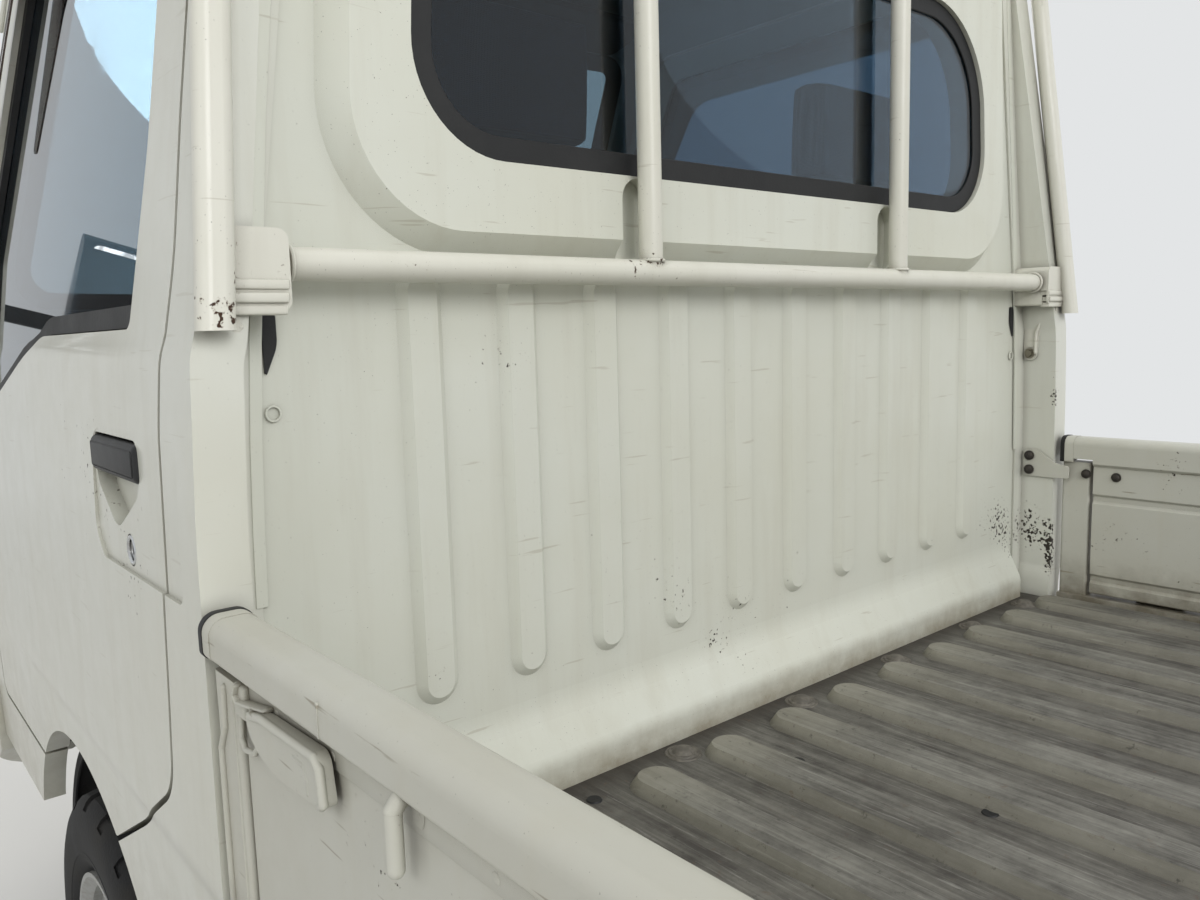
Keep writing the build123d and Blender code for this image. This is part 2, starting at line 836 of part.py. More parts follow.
notch_clear = 1.0
with BuildPart() as gate:
    with BuildSketch(Plane.YZ.offset(gate_rear_x)):
        add(face_of([(gate_outer_y - u, gate_low_z + v, r) for u, v, r in gate_section(rail_bulge)]))
    extrude(amount=gate_front_x - gate_rear_x)
    with BuildSketch(Plane.XZ):
        with Locations((gate_panel_x, gate_low_z)):
            Rectangle(
                gate_rail_reach * 2,
                gate_height - 36,
                align=(Align.MIN, Align.MIN),
            )
    extrude(amount=-far, mode=Mode.SUBTRACT)
    for x in side_hinge_positions:
        with BuildSketch(Plane.YZ.offset(x - hinge_length / 2 - notch_clear)):
            with Locations((gate_outer_y, hinge_z)):
                Circle(hinge_radius + seat_gap)
        extrude(amount=hinge_length + 2 * notch_clear, mode=Mode.SUBTRACT)
keep_both(gate.part, "gate")

with BuildPart() as tailgate:
    with BuildSketch(Plane.XZ):
        add(face_of([(tailgate_outer_x + u, gate_low_z + v, r) for u, v, r in gate_section(tailgate_bulge)]))
    extrude(amount=gate_outer_y, both=True)
    for y in rear_hinge_positions:
        with BuildSketch(Plane.XZ.offset(y - hinge_length / 2 - notch_clear)):
            with Locations((tailgate_outer_x, hinge_z)):
                Circle(hinge_radius + seat_gap)
        extrude(amount=hinge_length + 2 * notch_clear, mode=Mode.SUBTRACT)
keep(tailgate.part, "tailgate")

# Guard frame behind the cab: cross pipe, top pipe, two uprights, two outer posts and their brackets
guard_pipe_z = 1183.0
guard_pipe_radius = 13.6
guard_pipe_x = panel_x - 38
guard_upright_radius = 12.7
guard_bend_z = 1710.0
guard_top_z = 1880.0
post_low_z = 1131.0
post_low_y = 703.0
post_width = 28.0
post_depth = 22.0
post_corner = 9.5
post_x = cab_rear_x - 1 - post_depth / 2
post_lean_in = 5.2
post_direction = Vector(lean_slope, -tan(radians(post_lean_in)), 1.0)
post_top = Vector(post_x, post_low_y, post_low_z) + post_direction * (guard_top_z - post_low_z)
bracket_outer_y = cab_half_width - 24 - column_inset
bracket_inner_y = bracket_outer_y - 22
bracket_corner = 9.0
bracket_low_z = guard_pipe_z - 38
bracket_high_z = guard_pipe_z + 25
bracket_rear_x = guard_pipe_x - guard_pipe_radius - 7
bracket_step_z = guard_pipe_z - 14
# Bracket blocks: rear x, inner y, low z, high z, low corner, high corner
bracket_table = (
    (bracket_rear_x, bracket_inner_y, bracket_step_z, bracket_high_z, 0, bracket_corner),
    (bracket_rear_x + 8, bracket_inner_y + 2, bracket_low_z, bracket_step_z, 3, 0),
)
with BuildPart() as guard_frame:
    with BuildSketch(Plane(origin=(post_x, post_low_y, post_low_z), x_dir=(1, 0, 0), z_dir=(0, 0, 1))):
        RectangleRounded(post_depth, post_width, post_corner)
    extrude(amount=post_direction.length * (guard_top_z - post_low_z), dir=post_direction.normalized())
    for rear_x, inner_y, low_z, high_z, low_corner, high_corner in bracket_table:
        with BuildSketch(Plane.YZ.offset(rear_x)):
            add(face_of((
                (bracket_outer_y, low_z, 0),
                (inner_y, low_z, low_corner),
                (inner_y, high_z, high_corner),
                (bracket_outer_y, high_z, 0),
            )))
        extrude(amount=flange_x - sheet - seat_gap - rear_x)
    with BuildSketch(Plane.YZ.offset(cab_rear_x - seat_gap)):
        with Locations(((bracket_inner_y + post_low_y) / 2, (bracket_low_z + bracket_high_z) / 2)):
            RectangleRounded(post_low_y - bracket_inner_y, bracket_high_z - bracket_low_z, bracket_corner)
    extrude(amount=-sheet)
    mirror(about=Plane.XZ)
    with BuildSketch(Plane.XZ):
        with Locations((guard_pipe_x, guard_pipe_z)):
            Circle(guard_pipe_radius)
    extrude(amount=bracket_inner_y + 10, both=True)
    with BuildSketch(Plane.XZ):
        with Locations((post_top.X, guard_top_z)):
            Circle(guard_pipe_radius)
    extrude(amount=post_top.Y, both=True)
    for side in (-1, 1):
        foot = Vector(guard_pipe_x, side * guard_upright_y, guard_pipe_z)
        bend = Vector(guard_pipe_x, side * guard_upright_y, guard_bend_z)
        head = Vector(post_top.X, side * guard_upright_y, guard_top_z)
        for start, end in ((foot, bend), (bend, head)):
            with BuildSketch(Plane(origin=start, z_dir=(end - start).normalized())):
                Circle(guard_upright_radius)
            extrude(amount=(end - start).length)
        with Locations(bend):
            Sphere(guard_upright_radius)
keep(guard_frame.part, "guard_frame")

# Wheels: x, side, name
wheel_table = (
    (front_axle_x, 1, "front_left"),
    (front_axle_x, -1, "front_right"),
    (rear_axle_x, 1, "rear_left"),
    (rear_axle_x, -1, "rear_right"),
)
# Tyre section: radius, distance from the wheel's middle plane, corner radius
tyre_section = mirrored((
    (55.0, rim_seat_radius + seat_gap, 0),
    (57.0, rim_flange_radius + 2, 0),
    (70.0, 184.0, 12),
    (tyre_width / 2, 218.0, 40),
    (66.0, 254.0, 20),
    (50.0, tyre_radius, 12),
))
# Rim section: distance outward from the middle plane, radius
rim_section = (
    (-rim_half_width, rim_flange_radius),
    (-60.0, rim_flange_radius),
    (-58.0, rim_seat_radius),
    (58.0, rim_seat_radius),
    (60.0, rim_flange_radius),
    (rim_half_width, rim_flange_radius),
    (rim_half_width, rim_flange_radius - 6),
    (54.0, 146.0),
    (42.0, 146.0),
    (40.0, 128.0),
    (24.0, 104.0),
    (42.0, 62.0),
    (42.0, 50.0),
    (28.0, 44.0),
    (28.0, hub_bore_radius),
    (hub_face_inset, hub_bore_radius),
    (hub_face_inset, 84.0),
    (16.0, 100.0),
    (30.0, 128.0),
    (30.0, 146.0),
    (-54.0, 146.0),
    (-rim_half_width, rim_flange_radius - 6),
)
rim_hole_count = 8
rim_hole_radius = 11.0
rim_hole_ring = 116.0
for axle_x, side, place in wheel_table:
    centre = Vector(axle_x, side * wheel_y, tyre_radius)
    wheel_section = Plane(origin=centre, x_dir=(0, side, 0), z_dir=(1, 0, 0))
    spin_axis = Axis(centre, (0, 1, 0))
    with BuildPart() as tyre:
        with BuildSketch(wheel_section):
            add(face_of([(u, v * side, r) for u, v, r in tyre_section]))
        revolve(axis=spin_axis)
    keep(tyre.part, f"tyre_{place}")
    with BuildPart() as rim:
        with BuildSketch(wheel_section):
            with BuildLine():
                Polyline(*[(u, v * side) for u, v in rim_section], close=True)
            make_face()
        revolve(axis=spin_axis)
        with BuildSketch(Plane(origin=centre, x_dir=(1, 0, 0), z_dir=(0, side, 0))):
            with PolarLocations(rim_hole_ring, rim_hole_count):
                Circle(rim_hole_radius)
        extrude(amount=rim_half_width, mode=Mode.SUBTRACT)
    keep(rim.part, f"rim_{place}")

# Hub and drum that carry a wheel: y from, y to, radius
hub_y = wheel_y + hub_face_inset - seat_gap
hub_table = (
    (kingpin_y, hub_y - 70, 36.0),
    (hub_y - 70, hub_y - 12, 100.0),
    (hub_y - 12, hub_y, 68.0),
    (hub_y, hub_y + 26, hub_bore_radius - seat_gap),
)

# Steering knuckles with the kingpin, hub and steering arm
steering_arm_length = 130.0
with BuildPart() as knuckle:
    with BuildSketch(Plane.XY.offset(kingpin_low_z + seat_gap)):
        with Locations((front_axle_x, kingpin_y)):
            Circle(kingpin_radius)
    extrude(amount=kingpin_high_z - kingpin_low_z - 2 * seat_gap)
    for start_y, end_y, radius in hub_table:
        with BuildSketch(Plane.XZ.offset(-start_y)):
            with Locations((front_axle_x, tyre_radius)):
                Circle(radius)
        extrude(amount=start_y - end_y)
    with BuildSketch(Plane.XY.offset(tyre_radius - 10)):
        with Locations((front_axle_x - steering_arm_length / 2, kingpin_y - 12)):
            Rectangle(steering_arm_length, 24)
    extrude(amount=20)
keep_both(knuckle.part, "knuckle")

# Front suspension: beam, lower arms and struts
beam_low_z = 190.0
strut_radius = 22.0
strut_top_z = seat_box_z - cab_floor_plate - seat_gap
with BuildPart() as front_suspension:
    with BuildSketch(Plane.YZ.offset(front_axle_x - 45)):
        with BuildLine():
            Polyline(
                (0, beam_low_z + 25),
                (rail_inner_y - 20, beam_low_z + 25),
                (kingpin_y + 30, beam_low_z),
                (kingpin_y + 30, kingpin_low_z),
                (kingpin_y - 40, kingpin_low_z),
                (rail_inner_y + rail_width, beam_low_z + 60),
                (rail_inner_y + rail_width, rail_low_z),
                (rail_inner_y, rail_low_z),
                (rail_inner_y, beam_low_z + 95),
                (0, beam_low_z + 95),
                close=True,
            )
        make_face()
        mirror(about=Plane.YZ)
    extrude(amount=90)
    for side in (-1, 1):
        for low_z, high_z, radius in (
            (kingpin_high_z, strut_top_z, strut_radius),
            (560.0, 572.0, 62.0),
            (572.0, strut_top_z, 48.0),
        ):
            with BuildSketch(Plane.XY.offset(low_z)):
                with Locations((front_axle_x, side * kingpin_y)):
                    Circle(radius)
            extrude(amount=high_z - low_z)
keep(front_suspension.part, "front_suspension")

# Rear axle with its hubs and leaf springs
spring_half_length = 480.0
spring_thickness = 22.0
spring_y = rail_inner_y + rail_width / 2
axle_radius = 36.0
spring_eye_radius = 17.0
spring_eye_z = rail_low_z - seat_gap - spring_eye_radius
spring_seat_z = tyre_radius + axle_radius + 6
with BuildPart() as rear_axle:
    with BuildSketch(Plane.XZ):
        with Locations((rear_axle_x, tyre_radius)):
            Circle(axle_radius)
    extrude(amount=hub_y - 50, both=True)
    with BuildSketch(Plane.XZ):
        with Locations((rear_axle_x, tyre_radius)):
            Circle(105)
    extrude(amount=70, both=True, taper=20)
    for side in (-1, 1):
        for start_y, end_y, radius in hub_table:
            with BuildSketch(Plane.XZ.offset(-side * start_y)):
                with Locations((rear_axle_x, tyre_radius)):
                    Circle(radius)
            extrude(amount=side * (start_y - end_y))
        with BuildSketch(Plane.XZ.offset(-side * spring_y)):
            with BuildLine():
                lower = ThreePointArc(
                    (rear_axle_x - spring_half_length, spring_eye_z),
                    (rear_axle_x, spring_seat_z - 20),
                    (rear_axle_x + spring_half_length, spring_eye_z),
                )
                upper = ThreePointArc(
                    (rear_axle_x - spring_half_length, spring_eye_z + 4),
                    (rear_axle_x, spring_seat_z - 20 + spring_thickness),
                    (rear_axle_x + spring_half_length, spring_eye_z + 4),
                )
                Line(lower @ 0, upper @ 0)
                Line(lower @ 1, upper @ 1)
            make_face()
            with Locations(
                (rear_axle_x - spring_half_length, spring_eye_z),
                (rear_axle_x + spring_half_length, spring_eye_z),
            ):
                Circle(spring_eye_radius)
        extrude(amount=25, both=True)
keep(rear_axle.part, "rear_axle")

# Engine behind the rear axle, hung under the bed's cross members
engine_front_x = rear_axle_x - 119
engine_rear_x = rail_rear_x + 62
with BuildPart() as engine_block:
    with BuildSketch(Plane.XY.offset(310)):
        with Locations(((engine_front_x + engine_rear_x) / 2, 0)):
            Rectangle(engine_front_x - engine_rear_x, 460)
    extrude(amount=rail_high_z - seat_gap - 310)
keep(engine_block.part, "engine_block")

# Fuel tank outside the left rail
with BuildPart() as fuel_tank:
    with BuildSketch(Plane.YZ.offset(front_axle_x - 1170)):
        add(face_of((
            (rail_inner_y + rail_width + seat_gap, 300.0, 30),
            (rail_inner_y + rail_width + seat_gap, rail_high_z, 10),
            (620.0, rail_high_z, 30),
            (640.0, 320.0, 40),
        )))
    extrude(amount=480)
keep(fuel_tank.part, "fuel_tank")

# Silencer outside the right rail, with its strap and tail pipe
silencer_y = -450.0
silencer_z = 400.0
silencer_strap_z = 440.0
silencer_radius = 62.0
with BuildPart() as silencer:
    with BuildSketch(Plane.YZ.offset(rear_end_x + 77.5)):
        with Locations((silencer_y, silencer_z)):
            Circle(silencer_radius)
    extrude(amount=190)
    with BuildSketch(Plane.YZ.offset(rear_end_x + 22.5)):
        with Locations((silencer_y, silencer_z)):
            Circle(17)
    extrude(amount=60)
    with BuildSketch(Plane.YZ.offset(rear_end_x + 157.5)):
        with Locations(((silencer_y - rail_inner_y - rail_width - seat_gap) / 2, silencer_strap_z)):
            Rectangle(abs(silencer_y) - rail_inner_y - rail_width - seat_gap, 30)
    extrude(amount=30)
keep(silencer.part, "silencer")

# Rear bar under the tail lamps
bar_low_z = 424.0
bar_high_z = 474.0
bar_rear_x = bed_rail_rear_x
with BuildPart() as rear_bar:
    with BuildSketch(Plane.XY.offset(bar_low_z)):
        with BuildLine():
            Polyline(
                (bar_rear_x, -650),
                (bar_rear_x, 650),
                (bar_rear_x + 40, 650),
                (bar_rear_x + 40, -650),
                close=True,
            )
        make_face()
    extrude(amount=bar_high_z - bar_low_z)
    with BuildSketch(Plane.YZ.offset(bar_rear_x)):
        for side in (-1, 1):
            with Locations((side * spring_y, (bar_low_z + bar_high_z) / 2)):
                Rectangle(40, bar_high_z - bar_low_z)
    extrude(amount=rail_rear_x - bar_rear_x - seat_gap)
keep(rear_bar.part, "rear_bar")

with BuildPart() as tail_lamps:
    with BuildSketch(Plane.YZ.offset(bar_rear_x)):
        for side in (-1, 1):
            with Locations((side * 530, bar_high_z + seat_gap + 50)):
                RectangleRounded(220, 100, 10)
    extrude(amount=50)
keep(tail_lamps.part, "tail_lamps")
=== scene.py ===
# Kei truck: paint, glass, rubber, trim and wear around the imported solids
import math

import bmesh
import bpy
from mathutils import Matrix, Vector


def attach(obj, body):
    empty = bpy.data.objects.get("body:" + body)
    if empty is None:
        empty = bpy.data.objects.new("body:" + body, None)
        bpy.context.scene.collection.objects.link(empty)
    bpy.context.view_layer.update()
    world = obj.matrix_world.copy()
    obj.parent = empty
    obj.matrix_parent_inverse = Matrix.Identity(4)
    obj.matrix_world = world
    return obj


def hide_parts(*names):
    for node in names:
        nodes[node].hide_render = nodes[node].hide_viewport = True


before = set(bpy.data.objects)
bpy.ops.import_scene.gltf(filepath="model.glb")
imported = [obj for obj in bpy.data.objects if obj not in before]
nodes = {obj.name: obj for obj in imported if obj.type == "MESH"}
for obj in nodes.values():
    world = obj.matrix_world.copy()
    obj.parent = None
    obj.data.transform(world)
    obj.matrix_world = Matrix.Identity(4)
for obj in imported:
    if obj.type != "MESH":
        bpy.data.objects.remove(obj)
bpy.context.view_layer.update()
print("frame loaded:", len(nodes), "nodes")

sides = {"left": 1, "right": -1}
ends = ("front", "rear")

# Shared places of the truck, in metres: x forward, y left, z up
truck = {
    "beltZ": 1.128,
    "beltY": 0.714,
    "sideLean": 0.14,
    "frontAxleX": 0.790,
    "rearAxleX": -1.095,
    "axleZ": 0.27,
    "wheelY": 0.6425,
}


# Materials
def linear(hexColour):
    # sRGB hex to the linear colour that the shader wants
    parts = [int(hexColour[i:i + 2], 16) / 255 for i in (1, 3, 5)]
    return tuple(c / 12.92 if c <= 0.04045 else ((c + 0.055) / 1.055) ** 2.4 for c in parts) + (1.0,)


def feed(node, inputs):
    # Fills a node's inputs. Each takes a value, a hex colour, a node or (node, output);
    # a node alone stands for its first output, and a mix for its mixed colour
    for socket, value in inputs.items():
        if isinstance(value, bpy.types.Node):
            value = (value, 2 if value.bl_idname == "ShaderNodeMix" else 0)
        if isinstance(value, tuple) and isinstance(value[0], bpy.types.Node):
            node.id_data.links.new(value[0].outputs[value[1]], node.inputs[socket])
        else:
            node.inputs[socket].default_value = linear(value) if isinstance(value, str) else value


def addNode(tree, kind, inputs=None, **settings):
    # One node with its settings and links; every mix here mixes colours
    node = tree.nodes.new("ShaderNode" + kind)
    if kind == "Mix":
        node.data_type = "RGBA"
    for name, value in settings.items():
        setattr(node, name, value)
    feed(node, inputs or {})
    return node


def startMaterial(name, **shaderValues):
    material = bpy.data.materials.new(name)
    material.use_nodes = True
    tree = material.node_tree
    tree.nodes.clear()
    shader = addNode(tree, "BsdfPrincipled", shaderValues)
    addNode(tree, "OutputMaterial", {"Surface": shader})
    place = addNode(tree, "TexCoord")
    return material, tree, shader, place


def cornerDirtAndShade(tree, colour, strength, dirtShadeColour):
    # Dirt and painted shade in corners narrower than 14 mm, darkened by an ambient occlusion node
    clear = addNode(tree, "AmbientOcclusion", {"Distance": 0.014}, samples=1)
    shut = addNode(tree, "MapRange", {0: (clear, "AO"), 1: 0.72, 2: 0.25, 3: 0.0, 4: strength})
    return addNode(tree, "Mix", {0: shut, 6: colour, 7: dirtShadeColour})


def paintMaterial(name, look):
    # Baked acrylic enamel on sheet steel: soft gloss that has chalked and yellowed,
    # chips through to brown primer, fine scuffs, and dust where rain leaves it
    material, tree, shader, place = startMaterial(
        name, **{"IOR": 1.5, "Coat Weight": look["coat"], "Coat Roughness": 0.12})
    onPiece = (place, "Object")
    height = addNode(tree, "SeparateXYZ", {0: onPiece})
    cloud = addNode(tree, "TexNoise", {"Vector": onPiece, "Scale": 2.6, "Detail": 5.0, "Roughness": 0.6})
    yellow = addNode(tree, "MapRange", {0: cloud, 1: 0.42, 2: 0.72, 3: 0.0, 4: look["yellow"]})
    tint = addNode(tree, "Mix", {0: yellow, 6: look["colour"], 7: look["aged"]})
    # Runs of dust down the sheet, about 30 mm apart
    stretch = addNode(tree, "Mapping", {0: onPiece, 3: (30.0, 30.0, 2.4)})
    runs = addNode(tree, "TexNoise", {"Vector": stretch, "Scale": 1.0, "Detail": 4.0, "Roughness": 0.62})
    runMask = addNode(tree, "MapRange", {0: runs, 1: 0.5, 2: 0.78, 3: 0.0, 4: look["runs"]})
    streaked = addNode(tree, "Mix", {0: runMask, 6: tint, 7: look["dust"]})
    # Dust that gathers upwards from a ledge
    ledge = addNode(tree, "MapRange", {0: (height, "Z"), 1: look["ledgeZ"], 2: look["ledgeZ"] + look["ledgeHigh"],
            3: 1.0, 4: 0.0})
    patchy = addNode(tree, "TexNoise", {"Vector": onPiece, "Scale": 22.0, "Detail": 6.0, "Roughness": 0.7})
    gather = addNode(tree, "Math", {0: ledge, 1: patchy}, operation="MULTIPLY")
    gatherMask = addNode(tree, "MapRange", {0: gather, 1: 0.14, 2: 0.62, 3: 0.0, 4: look["ledge"]})
    dusty = addNode(tree, "Mix", {0: gatherMask, 6: streaked, 7: look["dirt"]})
    # Scuffs: thin lines a few centimetres long
    turned = addNode(tree, "Mapping", {0: onPiece, 2: (0.5, 0.35, 0.2), 3: (12.0, 12.0, 190.0)})
    scuffs = addNode(tree, "TexNoise", {"Vector": turned, "Scale": 1.0, "Detail": 2.0})
    scuffLine = addNode(tree, "MapRange", {0: scuffs, 1: 0.70, 2: 0.735, 3: 0.0, 4: look["scuffs"]})
    scuffed = addNode(tree, "Mix", {0: scuffLine, 6: dusty, 7: look["scuff"]})
    # Chips, 1 to 5 mm, in crowded patches
    crowd = addNode(tree, "TexNoise", {"Vector": onPiece, "Scale": look["crowdScale"], "Detail": 2.0})
    crowdMask = addNode(tree, "MapRange", {0: crowd, 1: 0.5, 2: 0.75, 3: -0.10, 4: 0.13})
    low = addNode(tree, "MapRange", {0: (height, "Z"), 1: look["ledgeZ"], 2: look["ledgeZ"] + 0.35,
            3: look["lowChips"], 4: 0.0})
    grit = addNode(tree, "TexNoise", {"Vector": onPiece, "Scale": 190.0, "Detail": 3.0, "Roughness": 0.55})
    total = addNode(tree, "Math", {0: grit, 1: crowdMask}, operation="ADD")
    total = addNode(tree, "Math", {0: total, 1: low}, operation="ADD")
    for *knock, reach, strength in look["knocks"]:
        away = addNode(tree, "VectorMath", {0: onPiece, 1: tuple(knock)}, operation="DISTANCE")
        hit = addNode(tree, "MapRange", {0: (away, "Value"), 1: 0.0, 2: reach, 3: strength, 4: 0.0})
        total = addNode(tree, "Math", {0: total, 1: hit}, operation="ADD")
    chip = addNode(tree, "MapRange", {0: total, 1: look["chipAt"], 2: look["chipAt"] + 0.015})
    # Rust that has bled a few millimetres round the chips, and single specks under 2 mm
    bleed = addNode(tree, "MapRange", {0: total, 1: look["chipAt"] - 0.05, 2: look["chipAt"] + 0.01, 3: 0.0,
            4: look["bleed"]})
    bled = addNode(tree, "Mix", {0: bleed, 6: scuffed, 7: "#7C6A4E"})
    dots = addNode(tree, "TexNoise", {"Vector": onPiece, "Scale": 520.0, "Detail": 1.0})
    dotMask = addNode(tree, "MapRange", {0: dots, 1: 0.755, 2: 0.79, 3: 0.0, 4: look["specks"]})
    dotted = addNode(tree, "Mix", {0: dotMask, 6: bled, 7: "#4A443A"})
    finish = addNode(tree, "Mix", {0: chip, 6: dotted, 7: look["primer"]})
    # Dirt and painted shade in corners and along edges that lie on another part, where no cloth reaches
    finish = cornerDirtAndShade(tree, finish, look["corners"], "#5F5747")
    feed(shader, {"Base Color": finish})
    chalk = addNode(tree, "MapRange", {0: patchy, 1: 0.3, 2: 0.7, 3: look["roughness"] - 0.06,
            4: look["roughness"] + 0.1})
    dull = addNode(tree, "Math", {0: chalk, 1: chip}, operation="MAXIMUM", use_clamp=True)
    feed(shader, {"Roughness": dull})
    # Orange peel drawn at 4 mm, and chips a paint film deep
    peel = addNode(tree, "TexNoise", {"Vector": onPiece, "Scale": 240.0, "Detail": 1.0})
    peelBump = addNode(tree, "Bump", {"Height": peel, "Strength": 0.05, "Distance": 0.001})
    chipBump = addNode(tree, "Bump", {"Height": chip, "Strength": 0.4, "Distance": 0.0004, "Normal": peelBump},
                       invert=True)
    feed(shader, {"Normal": chipBump})
    return material


# Paint looks. A knock is x, y, z, how far it reaches and how strong it is
cabPaintLook = {
    "colour": "#D0D1C7", "aged": "#C6C4B2", "yellow": 0.5, "coat": 0.35, "roughness": 0.36,
    "dust": "#BDBAAA", "runs": 0.30, "dirt": "#8F856F", "ledgeZ": 0.43, "ledgeHigh": 0.30, "ledge": 0.35,
    "scuff": "#B4B0A0", "scuffs": 0.35, "primer": "#2F2923", "crowdScale": 3.5, "lowChips": 0.03, "chipAt": 0.80,
    "bleed": 0.25, "specks": 0.25, "corners": 0.6,
    "knocks": ((0.262, -0.686, 0.785, 0.060, 0.21), (0.255, -0.686, 0.740, 0.055, 0.21),
               (0.219, -0.688, 0.69, 0.024, 0.34), (0.219, -0.688, 0.715, 0.022, 0.34),
               (0.219, -0.688, 0.74, 0.022, 0.34), (0.219, -0.688, 0.77, 0.020, 0.30),
               (0.219, -0.688, 0.98, 0.018, 0.40), (0.219, -0.688, 1.0, 0.018, 0.42),
               (0.219, -0.688, 1.025, 0.014, 0.36), (0.252, -0.686, 0.98, 0.030, 0.20)),
}
backPaintLook = dict(cabPaintLook, **{
    "colour": "#D3D5CA", "aged": "#C9C8B6", "coat": 0.18, "roughness": 0.42, "ledgeZ": 0.650, "ledgeHigh": 0.045,
    "ledge": 0.75, "scuffs": 0.55, "chipAt": 0.79, "specks": 0.7, "corners": 0.5,
    "knocks": ((0.267, 0.495, 0.800, 0.040, 0.20), (0.267, 0.385, 0.785, 0.030, 0.17),
               (0.268, 0.165, 0.805, 0.055, 0.17), (0.268, 0.055, 0.800, 0.055, 0.17),
               (0.268, -0.055, 0.825, 0.05, 0.17), (0.268, -0.165, 0.795, 0.045, 0.17),
               (0.268, -0.385, 0.80, 0.04, 0.17), (0.268, 0.275, 0.775, 0.035, 0.17),
               (0.268, -0.60, 0.80, 0.07, 0.17), (0.268, -0.635, 0.745, 0.07, 0.17),
               (0.268, 0.11, 0.735, 0.035, 0.17)),
})
bedPaintLook = dict(backPaintLook, **{
    "colour": "#C2C2B8", "aged": "#AFAA97", "coat": 0.08, "roughness": 0.48, "ledge": 0.85, "ledgeHigh": 0.10,
    "scuff": "#8D8776", "scuffs": 0.8, "chipAt": 0.765, "crowdScale": 6.0, "dirt": "#655D4D", "specks": 0.4,
    "corners": 0.8,
    "knocks": ((0.131, 0.6935, 0.920, 0.014, 0.30), (0.115, 0.694, 0.921, 0.012, 0.28),
               (0.098, 0.6935, 0.920, 0.012, 0.28), (0.080, 0.694, 0.921, 0.012, 0.26),
               (0.05, -0.697, 0.75, 0.05, 0.16), (0.02, -0.697, 0.70, 0.04, 0.16),
               (-0.06, -0.697, 0.80, 0.04, 0.15), (-0.10, -0.697, 0.73, 0.03, 0.15)),
})
pipePaintLook = dict(backPaintLook, **{
    "colour": "#D6D5CA", "ledgeZ": 1.10, "ledge": 0.0, "chipAt": 0.765, "crowdScale": 9.0, "lowChips": 0.02,
    "primer": "#3F2C1F", "runs": 0.2, "bleed": 0.45, "corners": 0.9,
    "knocks": ((0.194, 0.712, 1.150, 0.022, 0.24), (0.194, 0.695, 1.140, 0.020, 0.26),
               (0.216, 0.690, 1.175, 0.030, 0.16), (0.216, 0.645, 1.18, 0.012, 0.26),
               (0.216, 0.690, 1.205, 0.018, 0.24), (0.225, 0.2345, 1.196, 0.018, 0.22),
               (0.225, -0.2345, 1.196, 0.018, 0.22), (0.224, 0.53, 1.183, 0.02, 0.20),
               (0.224, 0.36, 1.183, 0.03, 0.18)),
})


